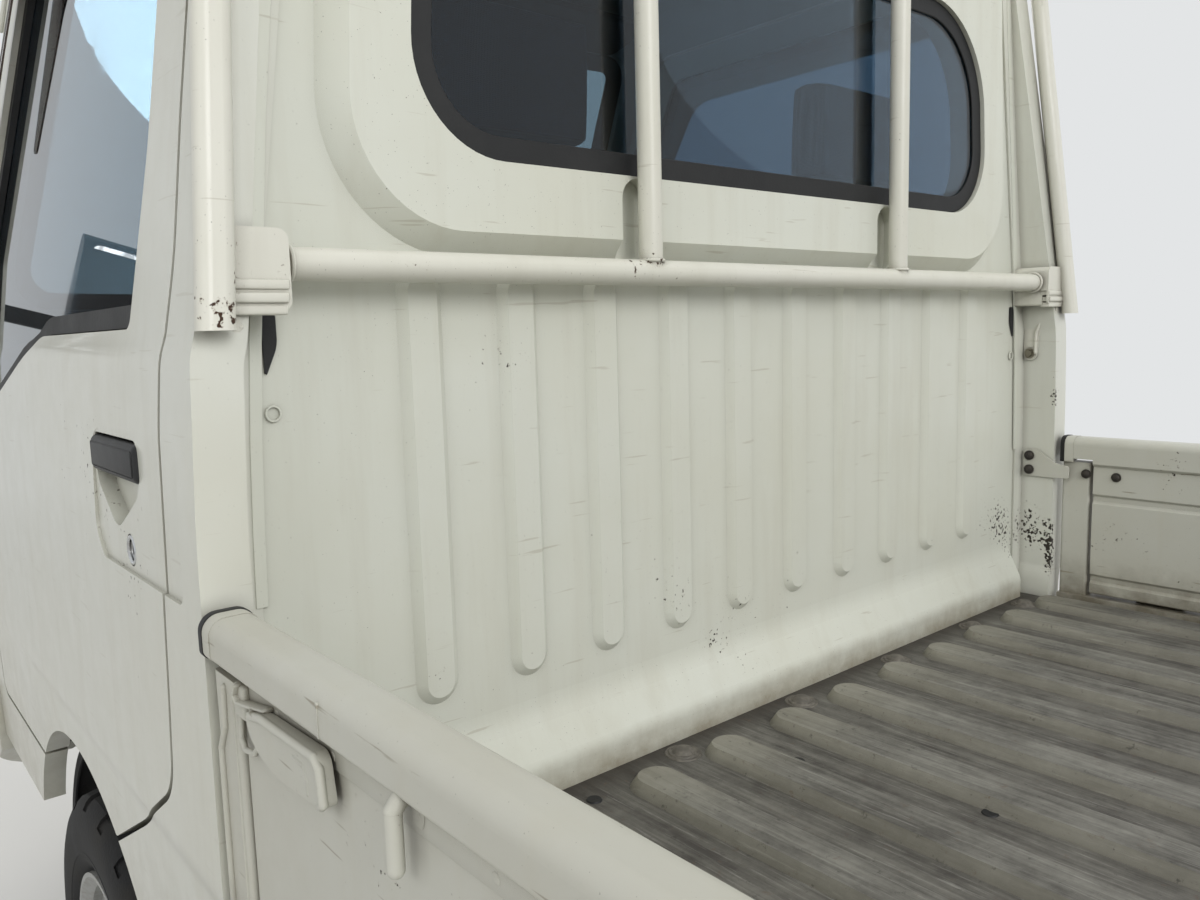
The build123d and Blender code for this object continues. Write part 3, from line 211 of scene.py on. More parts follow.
def wornFloorMaterial(name, look):
    # Bed steel whose enamel has been dragged thin by cargo: grey with long scratches the way
    # loads slide, tan paint with painted light on the ridges' near sides, dirt packed in at the front
    material, tree, shader, place = startMaterial(name, IOR=1.5)
    onPiece = (place, "Object")
    xyz = addNode(tree, "SeparateXYZ", {0: onPiece})
    faceWay = addNode(tree, "NewGeometry")
    faceXyz = addNode(tree, "SeparateXYZ", {0: (faceWay, "True Normal")})
    along = addNode(tree, "Mapping", {0: onPiece, 3: (3.0, 60.0, 10.0)})
    drag = addNode(tree, "TexNoise", {"Vector": along, "Scale": 1.0, "Detail": 9.0, "Roughness": 0.72})
    fineAlong = addNode(tree, "Mapping", {0: onPiece, 3: (14.0, 330.0, 30.0)})
    scratch = addNode(tree, "TexNoise", {"Vector": fineAlong, "Scale": 1.0, "Detail": 6.0, "Roughness": 0.7})
    patch = addNode(tree, "TexNoise", {"Vector": onPiece, "Scale": 9.0, "Detail": 10.0, "Roughness": 0.74})
    ridge = addNode(tree, "MapRange", {0: (xyz, "Z"), 1: look["grooveZ"], 2: look["ridgeZ"], 3: 0.0, 4: 1.0},
                    interpolation_type="SMOOTHSTEP")
    wear = addNode(tree, "Math", {0: drag, 1: patch}, operation="ADD")
    wearMask = addNode(tree, "MapRange", {0: wear, 1: 0.82, 2: 1.20, 3: 0.0, 4: 1.0})
    groove = addNode(tree, "Mix", {0: wearMask, 6: look["dirt"], 7: look["stain"]})
    top = addNode(tree, "Mix", {0: wearMask, 6: look["rubbed"], 7: look["pale"]})
    blend = addNode(tree, "Math", {0: ridge, 1: look["ridgeShow"]}, operation="MULTIPLY")
    both = addNode(tree, "Mix", {0: blend, 6: groove, 7: top})
    # Bright and dark scratches, 1 to 3 mm wide
    bright = addNode(tree, "MapRange", {0: scratch, 1: 0.56, 2: 0.70, 3: 0.0, 4: look["scratches"]})
    scratched = addNode(tree, "Mix", {0: bright, 6: both, 7: look["bare"]})
    dull = addNode(tree, "MapRange", {0: scratch, 1: 0.44, 2: 0.30, 3: 0.0, 4: look["scratches"]})
    dulled = addNode(tree, "Mix", {0: dull, 6: scratched, 7: look["gutter"]})
    # Tan paint with painted light on the sides of the ridges that face left, and rust flecks along it
    slope = addNode(tree, "MapRange", {0: (faceXyz, "Y"), 1: 0.15, 2: 0.35, 3: 0.0, 4: look["slopePaintAndLight"]})
    sloped = addNode(tree, "Mix", {0: slope, 6: dulled, 7: look["paint"]})
    # Paint that is left near the front edge, where nothing slides
    front = addNode(tree, "MapRange", {0: (xyz, "X"), 1: 0.08, 2: 0.20, 3: 0.0, 4: look["frontPaint"]})
    kept = addNode(tree, "Math", {0: front, 1: ridge}, operation="MULTIPLY")
    fronted = addNode(tree, "Mix", {0: kept, 6: sloped, 7: look["paint"]})
    # Packed dirt along the front gutter
    gutter = addNode(tree, "MapRange", {0: (xyz, "X"), 1: 0.205, 2: 0.238, 3: 0.0, 4: 0.85})
    guttered = addNode(tree, "Mix", {0: gutter, 6: fronted, 7: look["gutter"]})
    grit = addNode(tree, "TexNoise", {"Vector": onPiece, "Scale": 80.0, "Detail": 7.0, "Roughness": 0.75})
    spots = addNode(tree, "MapRange", {0: grit, 1: 0.60, 2: 0.68, 3: 0.0, 4: 0.7})
    spotted = addNode(tree, "Mix", {0: spots, 6: guttered, 7: look["spot"]})
    rusty = addNode(tree, "MapRange", {0: grit, 1: 0.40, 2: 0.30, 3: 0.0, 4: 0.55})
    finish = addNode(tree, "Mix", {0: rusty, 6: spotted, 7: look["rust"]})
    # Dirt and painted shade in corners narrower than 14 mm
    finish = cornerDirtAndShade(tree, finish, 0.7, look["gutter"])
    feed(shader, {"Base Color": finish})
    sheen = addNode(tree, "MapRange", {0: wear, 1: 0.7, 2: 1.3, 3: 0.72, 4: 0.46})
    feed(shader, {"Roughness": sheen})
    bump = addNode(tree, "Bump", {"Height": wear, "Strength": 0.25, "Distance": 0.0015})
    gritBump = addNode(tree, "Bump", {"Height": grit, "Strength": 0.2, "Distance": 0.0008, "Normal": bump})
    feed(shader, {"Normal": gritBump})
    return material


floorLook = {
    "dirt": "#3F3C38", "stain": "#6F6D66", "rubbed": "#55534E", "pale": "#8E8D85", "bare": "#A5A49D",
    "paint": "#8D8A7C", "gutter": "#37332E", "spot": "#33302B", "rust": "#5B4636", "grooveZ": 0.6435,
    "ridgeZ": 0.6535, "ridgeShow": 0.5, "frontPaint": 0.6, "slopePaintAndLight": 0.42, "scratches": 0.5,
}


def darkMetalMaterial(name, colour, dustColour, roughness, metallic=0.0):
    # Chassis black or cast iron: a dull skin under road dust, with rust blooming through
    material, tree, shader, place = startMaterial(name, Metallic=metallic)
    onPiece = (place, "Object")
    grain = addNode(tree, "TexNoise", {"Vector": onPiece, "Scale": 130.0, "Detail": 4.0})
    bloom = addNode(tree, "TexNoise", {"Vector": onPiece, "Scale": 9.0, "Detail": 6.0, "Roughness": 0.65})
    rustMask = addNode(tree, "MapRange", {0: bloom, 1: 0.58, 2: 0.72, 3: 0.0, 4: 0.7})
    rusted = addNode(tree, "Mix", {0: rustMask, 6: colour, 7: "#4B3022"})
    dustMask = addNode(tree, "MapRange", {0: grain, 1: 0.4, 2: 0.75, 3: 0.0, 4: 0.45})
    dusted = addNode(tree, "Mix", {0: dustMask, 6: rusted, 7: dustColour})
    feed(shader, {"Base Color": dusted})
    rough = addNode(tree, "MapRange", {0: bloom, 1: 0.3, 2: 0.7, 3: roughness, 4: roughness + 0.25})
    feed(shader, {"Roughness": rough})
    bump = addNode(tree, "Bump", {"Height": grain, "Strength": 0.3, "Distance": 0.0006})
    feed(shader, {"Normal": bump})
    return material


def grainedMaterial(name, colour, worn, grainSize, roughness, depth):
    # Moulded plastic or rubber: a fine pebble grain, greyed where it is touched or sunned
    material, tree, shader, place = startMaterial(name, IOR=1.48)
    onPiece = (place, "Object")
    pebble = addNode(tree, "TexVoronoi", {"Vector": onPiece, "Scale": 1.0 / grainSize})
    haze = addNode(tree, "TexNoise", {"Vector": onPiece, "Scale": 14.0, "Detail": 5.0, "Roughness": 0.6})
    greyed = addNode(tree, "MapRange", {0: haze, 1: 0.45, 2: 0.75, 3: 0.0, 4: 0.6})
    colourMix = addNode(tree, "Mix", {0: greyed, 6: colour, 7: worn})
    feed(shader, {"Base Color": colourMix})
    rough = addNode(tree, "MapRange", {0: haze, 1: 0.3, 2: 0.7, 3: roughness, 4: roughness + 0.15})
    feed(shader, {"Roughness": rough})
    bump = addNode(tree, "Bump", {"Height": pebble, "Strength": depth, "Distance": grainSize / 4})
    feed(shader, {"Normal": bump})
    return material


def clothMaterial(name, warp, weft, threadSize):
    # Woven seat cloth: two threads crossing, with a soft nap that catches light at the edges
    material, tree, shader, place = startMaterial(
        name, **{"Roughness": 0.9, "Sheen Weight": 0.35, "Sheen Roughness": 0.5})
    onPiece = (place, "Object")
    across = addNode(tree, "TexWave", {"Vector": onPiece, "Scale": 0.5 / threadSize, "Distortion": 0.6},
                     bands_direction="Y")
    down = addNode(tree, "TexWave", {"Vector": onPiece, "Scale": 0.5 / threadSize, "Distortion": 0.6},
                   bands_direction="Z")
    weave = addNode(tree, "Math", {0: (across, "Fac"), 1: (down, "Fac")}, operation="MULTIPLY")
    wear = addNode(tree, "TexNoise", {"Vector": onPiece, "Scale": 8.0, "Detail": 5.0})
    threads = addNode(tree, "Mix", {0: weave, 6: warp, 7: weft})
    wearMask = addNode(tree, "MapRange", {0: wear, 1: 0.45, 2: 0.75, 3: 0.0, 4: 0.35})
    worn = addNode(tree, "Mix", {0: wearMask, 6: threads, 7: "#6B6A68"})
    feed(shader, {"Base Color": worn})
    bump = addNode(tree, "Bump", {"Height": weave, "Strength": 0.5, "Distance": threadSize / 3})
    feed(shader, {"Normal": bump})
    return material


def glassMaterial(name, colour, haze):
    # Tempered soda-lime glass: sharp reflections, a body tint, a film of dust that dulls it in patches
    material, tree, shader, place = startMaterial(
        name, **{"Base Color": colour, "Transmission Weight": 1.0, "IOR": 1.45})
    film = addNode(tree, "TexNoise", {"Vector": (place, "Object"), "Scale": 6.0, "Detail": 6.0})
    rough = addNode(tree, "MapRange", {0: film, 1: 0.5, 2: 0.8, 3: 0.0, 4: haze})
    feed(shader, {"Roughness": rough})
    return material


def lensMaterial(name, colour, fluteSize, roughness):
    # Acrylic lens: saturated, glossy, moulded with fine optics that break up the light
    material, tree, shader, place = startMaterial(name, **{"IOR": 1.49, "Coat Weight": 0.6, "Coat Roughness": 0.04})
    onPiece = (place, "Object")
    flutes = addNode(tree, "TexWave", {"Vector": onPiece, "Scale": 0.16 / fluteSize}, bands_direction="Y")
    # Lighter patches across moulded cells: painted glints of light broken up by the optics
    cells = addNode(tree, "TexVoronoi", {"Vector": onPiece, "Scale": 1.0 / fluteSize})
    opticGlint = addNode(tree, "MapRange", {0: cells, 1: 0.0, 2: 0.8, 3: 0.0, 4: 0.35})
    shade = addNode(tree, "Mix", {0: opticGlint, 6: colour, 7: "#F2F2EE"})
    feed(shader, {"Base Color": shade})
    rough = addNode(tree, "MapRange", {0: (flutes, "Fac"), 3: roughness, 4: roughness + 0.12})
    feed(shader, {"Roughness": rough})
    bump = addNode(tree, "Bump", {"Height": (flutes, "Fac"), "Strength": 0.35, "Distance": fluteSize / 4})
    feed(shader, {"Normal": bump})
    return material


def brightMetalMaterial(name, colour, roughness, brushed):
    # Plated or bare steel: mirror-like under a light tarnish
    material, tree, shader, place = startMaterial(name, Metallic=1.0)
    onPiece = (place, "Object")
    tarnish = addNode(tree, "TexNoise", {"Vector": onPiece, "Scale": brushed, "Detail": 5.0})
    mask = addNode(tree, "MapRange", {0: tarnish, 1: 0.5, 2: 0.72, 3: 0.0, 4: 0.6})
    shade = addNode(tree, "Mix", {0: mask, 6: colour, 7: "#6A5C49"})
    feed(shader, {"Base Color": shade})
    rough = addNode(tree, "MapRange", {0: tarnish, 1: 0.3, 2: 0.7, 3: roughness, 4: roughness + 0.3})
    feed(shader, {"Roughness": rough})
    return material


cabPaint = paintMaterial("cabEnamel", cabPaintLook)
backPaint = paintMaterial("backPanelEnamel", backPaintLook)
bedPaint = paintMaterial("bedEnamel", bedPaintLook)
pipePaint = paintMaterial("guardPipeEnamel", pipePaintLook)
floorSteel = wornFloorMaterial("wornBedSteel", floorLook)
chassisBlack = darkMetalMaterial("chassisBlackPaint", "#17181A", "#4A443B", 0.5)
castIron = darkMetalMaterial("castIron", "#3B3835", "#5A5248", 0.55, 0.4)
rimPaint = darkMetalMaterial("wheelSilverPaint", "#A7A8A6", "#7A7263", 0.38, 0.3)
tyreRubber = grainedMaterial("tyreRubber", "#131314", "#34322E", 0.004, 0.72, 0.25)
# Black rubber, also used as the black of painted shade in slots and gaps
blackRubberAndShade = grainedMaterial("epdmRubberAndShade", "#0E0F10", "#2B2B2B", 0.003, 0.5, 0.15)
blackPlastic = grainedMaterial("grainedPolypropylene", "#141516", "#333332", 0.0016, 0.42, 0.3)
greyPlastic = grainedMaterial("greyAbs", "#4B4C4E", "#5E5E5D", 0.0018, 0.5, 0.3)
seatCloth = clothMaterial("wovenSeatCloth", "#2B2C30", "#4A4B4F", 0.003)
clearGlass = glassMaterial("temperedGlass", "#DDE8E4", 0.05)
tintedGlass = glassMaterial("tintedGlass", "#70879A", 0.06)
smokedAcrylic = glassMaterial("smokedAcrylic", "#4A3F38", 0.1)
clearLens = lensMaterial("headlampLens", "#B9BFC3", 0.012, 0.06)
redLens = lensMaterial("redAcrylicLens", "#A31212", 0.006, 0.1)
amberLens = lensMaterial("amberAcrylicLens", "#D9791A", 0.006, 0.1)
whiteLens = lensMaterial("whiteAcrylicLens", "#D8D9D6", 0.006, 0.1)
chrome = brightMetalMaterial("chromePlate", "#C9CBCC", 0.08, 40.0)
zincPlate = brightMetalMaterial("zincPlatedSteel", "#8E897C", 0.34, 60.0)
dirtySteel = darkMetalMaterial("dirtySteelWasher", "#57534C", "#8C877B", 0.5)
print("materials made:", len(bpy.data.materials))


def dress(material, *names):
    for name in names:
        for materialSlot in nodes[name].material_slots:
            materialSlot.material = material


dress(cabPaint, "cab_roof", "cab_front", "front_bumper", "cab_side_left", "cab_side_right", "door_left", "door_right")
dress(backPaint, "cab_back")
dress(bedPaint, "gate_left", "gate_right", "tailgate", "bed_frame")
dress(pipePaint, "guard_frame")
dress(floorSteel, "bed_floor")
dress(chassisBlack, "chassis_frame", "front_suspension", "rear_axle", "rear_bar", "fuel_tank", "cab_floor")
dress(castIron, "engine_block", "knuckle_left", "knuckle_right", "silencer")
dress(clearGlass, "windscreen")
dress(tintedGlass, "rear_window", "door_glass_left", "door_glass_right")
dress(clearLens, "headlamps")
dress(redLens, "tail_lamps")
dress(greyPlastic, "dashboard")
dress(blackPlastic, "steering_wheel", "mirror_left", "mirror_right")
dress(seatCloth, "seat_left", "seat_right")
dress(tyreRubber, *[f"tyre_{end}_{side}" for end in ends for side in sides])
dress(rimPaint, *[f"rim_{end}_{side}" for end in ends for side in sides])


def finishPiece(name, bm, material, body="chassis", slot=None, smooth=35.0, bevel=0.0, subdivide=0):
    # Mesh object at the origin, faces outwards, riding on its body, with its material; the slot argument is not used
    bmesh.ops.remove_doubles(bm, verts=bm.verts, dist=0.00001)
    bmesh.ops.recalc_face_normals(bm, faces=bm.faces)
    mesh = bpy.data.meshes.new(name)
    bm.to_mesh(mesh)
    bm.free()
    mesh.materials.append(material)
    piece = bpy.data.objects.new(name, mesh)
    bpy.context.scene.collection.objects.link(piece)
    for polygon in mesh.polygons:
        polygon.use_smooth = True
    mesh.set_sharp_from_angle(angle=math.radians(smooth))
    if bevel:
        rounding = piece.modifiers.new("rounding", "BEVEL")
        rounding.width = bevel
        rounding.segments = 2
        rounding.limit_method = "ANGLE"
        rounding.angle_limit = math.radians(40)
    if subdivide:
        softening = piece.modifiers.new("softening", "SUBSURF")
        softening.levels = subdivide
        softening.render_levels = subdivide
    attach(piece, body)
    return piece


def makeOne(name, draw, material, body="chassis", slot=None, **finish):
    bm = bmesh.new()
    draw(bm)
    return finishPiece(name, bm, material, body, slot, **finish)


def makeBoth(name, draw, material, body="chassis", slot=None, **finish):
    # The left piece and its mirror image; {side} in the body's name is filled in
    for side, sign in sides.items():
        bm = bmesh.new()
        draw(bm)
        bmesh.ops.scale(bm, vec=(1.0, sign, 1.0), verts=bm.verts)
        finishPiece(f"{name}{side.title()}", bm, material, body.format(side=side), slot, **finish)


def addBlock(bm, low, high, rounding=0.0, segments=2):
    # Block between two corners, edges rounded
    low, high = Vector(low), Vector(high)
    made = bmesh.ops.create_cube(bm, size=1.0, matrix=Matrix.Translation((low + high) / 2)
                                 @ Matrix.Diagonal((*(high - low), 1.0)))
    if rounding:
        edges = dict.fromkeys(edge for vert in made["verts"] for edge in vert.link_edges)
        bmesh.ops.bevel(bm, geom=list(edges), offset=rounding, segments=segments, affect="EDGES",
                        profile=0.5, material=-1)


def addRod(bm, start, end, radius, segments=16, endRadius=None):
    # Round bar, or a cone, from start to end
    start, end = Vector(start), Vector(end)
    turn = (end - start).to_track_quat("Z", "Y").to_matrix().to_4x4()
    bmesh.ops.create_cone(
        bm, cap_ends=True, segments=segments, radius1=radius, radius2=radius if endRadius is None else endRadius,
        depth=(end - start).length, matrix=Matrix.Translation((start + end) / 2) @ turn)


def addBall(bm, centre, radius, flat=(1.0, 1.0, 1.0), segments=16):
    bmesh.ops.create_uvsphere(bm, u_segments=segments, v_segments=segments // 2, radius=radius,
                              matrix=Matrix.Translation(centre) @ Matrix.Diagonal((*flat, 1.0)))


def addPath(bm, points, radius, segments=12):
    # Bent bar through points, round at its ends and bends
    for start, end in zip(points, points[1:]):
        addRod(bm, start, end, radius, segments)
    for point in points:
        addBall(bm, point, radius, segments=segments)


def addPlate(bm, corners, depth, toWorld, segments=5):
    # Plate from corners (u, v, radius), raised by depth along the plane's normal
    others = set(bm.verts)
    verts = [bm.verts.new((u, v, 0.0)) for u, v, radius in corners]
    bm.faces.new(verts)
    for vert, (u, v, radius) in zip(verts, corners):
        if radius:
            bmesh.ops.bevel(bm, geom=[vert], offset=radius, segments=segments, affect="VERTICES", profile=0.5,
                            material=-1)
    flat = [vert for vert in bm.verts if vert not in others]
    faces = list(dict.fromkeys(face for vert in flat for face in vert.link_faces))
    raised = bmesh.ops.extrude_face_region(bm, geom=faces, use_keep_orig=True)
    top = [item for item in raised["geom"] if isinstance(item, bmesh.types.BMVert)]
    bmesh.ops.translate(bm, verts=top, vec=(0.0, 0.0, depth))
    bmesh.ops.transform(bm, verts=flat + top, matrix=toWorld)


def oblong(low, high, rounding, topRounding=None):
    # Corners of an upright oblong plate; its top pair may be rounded more
    top = rounding if topRounding is None else topRounding
    return ((low[0], low[1], rounding), (high[0], low[1], rounding), (high[0], high[1], top), (low[0], high[1], top))


def planeAt(origin, right, up):
    # Matrix of a plane from its origin and two directions
    right, up = Vector(right).normalized(), Vector(up).normalized()
    return Matrix.Translation(origin) @ Matrix((right, up, right.cross(up))).transposed().to_4x4()


def onSide(y):
    # u forward, v up, depth towards the right
    return planeAt((0, y, 0), (1, 0, 0), (0, 0, 1))


def onBack(x):
    # u left, v up, depth forwards
    return planeAt((x, 0, 0), (0, 1, 0), (0, 0, 1))


def addDome(bm, place, direction, radius, high, segments=20):
    # Shallow round head
    turn = Vector(direction).to_track_quat("Z", "Y").to_matrix().to_4x4()
    bmesh.ops.create_uvsphere(bm, u_segments=segments, v_segments=10, radius=1.0,
                              matrix=Matrix.Translation(place) @ turn @ Matrix.Diagonal((radius, radius, high, 1.0)))


def addBolt(bm, place, direction, radius, washer=1.5):
    # Hexagon head on a washer
    place, direction = Vector(place), Vector(direction).normalized()
    addRod(bm, place - direction * 0.0005, place + direction * radius * 0.25, radius * washer, 24)
    addRod(bm, place + direction * radius * 0.2, place + direction * radius * 0.95, radius, 6, radius * 0.9)


def addRing(bm, centre, axis, radius, tube, turns=32, segments=10):
    # Ring of round section
    axis = Vector(axis).normalized()
    side = axis.orthogonal().normalized()
    section = bmesh.ops.create_circle(
        bm, segments=segments, radius=tube,
        matrix=Matrix.Translation(Vector(centre) + side * radius)
        @ Matrix((side, axis, side.cross(axis))).transposed().to_4x4())
    edges = list(dict.fromkeys(edge for vert in section["verts"] for edge in vert.link_edges))
    bmesh.ops.spin(bm, geom=section["verts"] + edges, cent=centre, axis=axis, angle=math.tau, steps=turns,
                   use_merge=True)


def addSpun(bm, profile, centre, axis, steps=48):
    # Profile of (distance along the axis, radius) spun round it
    centre, axis = Vector(centre), Vector(axis).normalized()
    side = axis.orthogonal().normalized()
    verts = [bm.verts.new(centre + axis * along + side * radius) for along, radius in profile]
    edges = [bm.edges.new(pair) for pair in zip(verts, verts[1:])]
    bmesh.ops.spin(bm, geom=verts + edges, cent=centre, axis=axis, angle=math.tau, steps=steps, use_merge=True)


def copySkin(name, facing, limit):
    # Merged copy of the faces of a CAD node that look one way
    bm = bmesh.new()
    bm.from_mesh(nodes[name].data)
    bmesh.ops.remove_doubles(bm, verts=bm.verts, dist=0.00005)
    bm.normal_update()
    facing = Vector(facing).normalized()
    others = [face for face in bm.faces if face.normal.dot(facing) < limit]
    bmesh.ops.delete(bm, geom=others, context="FACES")
    return bm


def thicken(bm, vec):
    # Gives a skin its thickness along one direction
    raised = bmesh.ops.extrude_face_region(bm, geom=bm.faces[:], use_keep_orig=True)
    top = [item for item in raised["geom"] if isinstance(item, bmesh.types.BMVert)]
    bmesh.ops.translate(bm, verts=top, vec=vec)


def edgeRing(name, facing, limit, width, lift, thickness):
    # Frame round the edge of a pane: its face, inset, without the middle
    bm = copySkin(name, facing, limit)
    facing = Vector(facing).normalized()
    bmesh.ops.dissolve_limit(bm, angle_limit=math.radians(1.5), verts=bm.verts, edges=bm.edges)
    ring = set(bmesh.ops.inset_region(bm, faces=bm.faces[:], thickness=width, use_even_offset=True,
                                      use_boundary=True)["faces"])
    bmesh.ops.delete(bm, geom=[face for face in bm.faces if face not in ring], context="FACES")
    bmesh.ops.translate(bm, verts=bm.verts, vec=facing * lift)
    thicken(bm, facing * thickness)
    return bm


# Front skin of the cab
noseShape = {"stages": ((0.2, 1.6815), (0.88, 1.6735), (1.17, 1.5905), (1.9, 1.1175)),
             "flatY": 0.095, "straightY": 0.265, "cornerY": 0.5128, "crownRadius": 1.2, "slope": 1 / 7,
             "cornerRadius": 0.25}


def noseX(y, z):
    s = noseShape
    for (lowZ, lowX), (highZ, highX) in zip(s["stages"], s["stages"][1:]):
        if z <= highZ or highZ == s["stages"][-1][0]:
            front = lowX + (z - lowZ) / (highZ - lowZ) * (highX - lowX)
            break
    across = abs(y)
    if across < s["flatY"]:
        return front
    if across < s["straightY"]:
        return front - (across - s["flatY"]) ** 2 / (2 * s["crownRadius"])
    straightBack = (s["straightY"] - s["flatY"]) ** 2 / (2 * s["crownRadius"])
    if across < s["cornerY"]:
        return front - straightBack - (across - s["straightY"]) * s["slope"]
    cornerBack = straightBack + (s["cornerY"] - s["straightY"]) * s["slope"]
    start = math.atan(s["slope"])
    turn = math.asin(min(1.0, math.sin(start) + (across - s["cornerY"]) / s["cornerRadius"]))
    return front - cornerBack - s["cornerRadius"] * (math.cos(start) - math.cos(turn))


def bendToNose(bm, spacing=0.03):
    # Slices a flat piece across and sets it on the nose; its x is the height above the skin
    low = min(vert.co.y for vert in bm.verts)
    high = max(vert.co.y for vert in bm.verts)
    for step in range(1, int((high - low) / spacing) + 1):
        bmesh.ops.bisect_plane(bm, geom=bm.verts[:] + bm.edges[:] + bm.faces[:], dist=0.00001,
                               plane_co=(0, low + step * spacing, 0), plane_no=(0, 1, 0))
    for vert in bm.verts:
        vert.co.x += noseX(vert.co.y, vert.co.z)


# Camera at the photograph's place: position in metres, angles in degrees, focal length in pixels
view = {"place": (-0.5025, 0.9381, 1.1230), "yaw": -40.205, "pitch": -7.182, "roll": -1.598,
        "focal": 942.9, "imageWidth": 1200, "sensor": 36.0}
yaw, pitch, roll = (math.radians(view[key]) for key in ("yaw", "pitch", "roll"))
forward = Vector((math.cos(yaw) * math.cos(pitch), math.sin(yaw) * math.cos(pitch), math.sin(pitch)))
level = Vector((math.sin(yaw), -math.cos(yaw), 0.0))
upright = level.cross(forward)
viewRight = math.cos(roll) * level + math.sin(roll) * upright
viewUp = -math.sin(roll) * level + math.cos(roll) * upright
camera = bpy.data.objects.new("camera", bpy.data.cameras.new("camera"))
camera.data.sensor_width = view["sensor"]
camera.data.lens = view["focal"] * view["sensor"] / view["imageWidth"]
camera.data.clip_start = 0.02
camera.data.clip_end = 100.0
camera.matrix_world = Matrix.Translation(view["place"]) @ Matrix((viewRight, viewUp, -forward)).transposed().to_4x4()
bpy.context.scene.collection.objects.link(camera)
bpy.context.scene.camera = camera


def seenByEye(tree):
    # 1 for a ray that the eye follows: straight, through glass or mirrored
    rays = addNode(tree, "LightPath")
    seen = addNode(tree, "Math", {0: (rays, "Is Camera Ray"), 1: (rays, "Is Transmission Ray")},
                   operation="MAXIMUM")
    return addNode(tree, "Math", {0: seen, 1: (rays, "Is Glossy Ray")}, operation="MAXIMUM")


# Floor, world and lamps
stage = {"floorSize": 60.0, "floorColour": "#D9D9D6", "skyColour": "#E3E5E6", "skyStrength": 0.44, "fadeFrom": 3.0,
         "fadeTo": 9.0}
bm = bmesh.new()
bmesh.ops.create_grid(bm, x_segments=1, y_segments=1, size=stage["floorSize"] / 2)
floorMesh = bpy.data.meshes.new("studioFloor")
bm.to_mesh(floorMesh)
bm.free()
floor = bpy.data.objects.new("studioFloor", floorMesh)
bpy.context.scene.collection.objects.link(floor)
floorFinish, tree, shader, place = startMaterial("studioConcrete", **{"Roughness": 0.85})
speckle = addNode(tree, "TexNoise", {"Vector": (place, "Object"), "Scale": 3.0, "Detail": 8.0})
speckleMix = addNode(tree, "Mix", {0: speckle, 6: stage["floorColour"], 7: "#DCDBD7"})
feed(shader, {"Base Color": speckleMix})
# Far from the truck the floor fades into the backdrop
distance = addNode(tree, "VectorMath", {0: (place, "Object")}, operation="LENGTH")
away = addNode(tree, "MapRange", {0: (distance, "Value"), 1: stage["fadeFrom"], 2: stage["fadeTo"]},
               interpolation_type="SMOOTHSTEP")
seen = seenByEye(tree)
fade = addNode(tree, "Math", {0: away, 1: seen}, operation="MULTIPLY")
glow = addNode(tree, "Emission", {0: stage["skyColour"], 1: 1.0})
faded = addNode(tree, "MixShader", {0: fade, 1: shader, 2: glow})
addNode(tree, "OutputMaterial", {"Surface": faded}, is_active_output=True)
floorMesh.materials.append(floorFinish)

world = bpy.data.worlds.new("studioWorld")
bpy.context.scene.world = world
world.use_nodes = True
tree = world.node_tree
tree.nodes.clear()
seen = seenByEye(tree)
direct = addNode(tree, "Background", {0: "#FFFFFF", 1: stage["skyStrength"]})
backdrop = addNode(tree, "Background", {0: stage["skyColour"], 1: 1.0})
mixed = addNode(tree, "MixShader", {0: seen, 1: direct, 2: backdrop})
addNode(tree, "OutputWorld", {"Surface": mixed})

# Lamps: name, place, aim, size, watts
lampTable = (
    ("keyLamp", (-4.2, 1.0, 3.0), (0.2, 0.1, 0.9), 2.6, 115.0),
    ("leftLamp", (-1.6, 4.4, 3.4), (0.0, 0.2, 0.9), 3.2, 60.0),
    ("rightLamp", (-2.4, -4.4, 3.4), (0.0, 0.0, 0.9), 3.2, 62.0),
    ("frontLamp", (5.2, -1.8, 3.4), (0.8, 0.0, 0.9), 3.0, 120.0),
    ("topLamp", (0.4, -0.6, 5.2), (0.0, 0.0, 0.6), 3.2, 26.0),
)
for name, place, aim, size, watts in lampTable:
    data = bpy.data.lights.new(name, "AREA")
    data.shape = "DISK"
    data.size = size
    data.energy = watts
    lamp = bpy.data.objects.new(name, data)
    lamp.location = place
    lamp.visible_glossy = name not in ("leftLamp", "rightLamp")
    lamp.rotation_mode = "QUATERNION"
    lamp.rotation_quaternion = (Vector(aim) - Vector(place)).to_track_quat("-Z", "Y")
    bpy.context.scene.collection.objects.link(lamp)
bpy.context.scene.view_settings.view_transform = "Standard"
print("camera and lights placed")

# Side gates: rail caps and black end bands, latches, rope hooks, hinge straps
rail = {"frontX": 0.201, "capLength": 0.014, "capProud": 0.0006, "endBandX": 0.2016, "endBandLong": 0.0065,
        "endBandProud": 0.0012, "innerY": 0.692, "outerY": 0.7305, "lowInnerZ": 0.880, "lowOuterZ": 0.894,
        "topZ": 0.923}


def railOutline(grow):
    inner, outer, top = rail["innerY"] - grow, rail["outerY"] + grow, rail["topZ"] + grow
    return ((inner, rail["lowInnerZ"], 0.003), (inner, top, 0.0135), (outer, top, 0.0135),
            (outer, rail["lowOuterZ"] - grow, 0.004), (0.7195, 0.8868, 0.002))


# Black band round the rail's front end, a little proud of the rail
def drawRailEndBand(bm):
    addPlate(bm, railOutline(rail["endBandProud"]), rail["endBandLong"], onBack(rail["endBandX"]), segments=8)


def drawRailCap(bm):
    addPlate(bm, railOutline(rail["capProud"]), rail["capLength"] + 0.0004,
             onBack(rail["frontX"] - rail["capLength"]), segments=8)
    addBlock(bm, (0.0004, 0.7185, 0.8945), (0.0026, 0.7311, 0.916), 0.0003)  # Weld seam across the rail's outer face


makeBoth("gateRailEndBand", drawRailEndBand, blackRubberAndShade, "gate_{side}")
makeBoth("gateRailCap", drawRailCap, bedPaint, "gate_{side}")

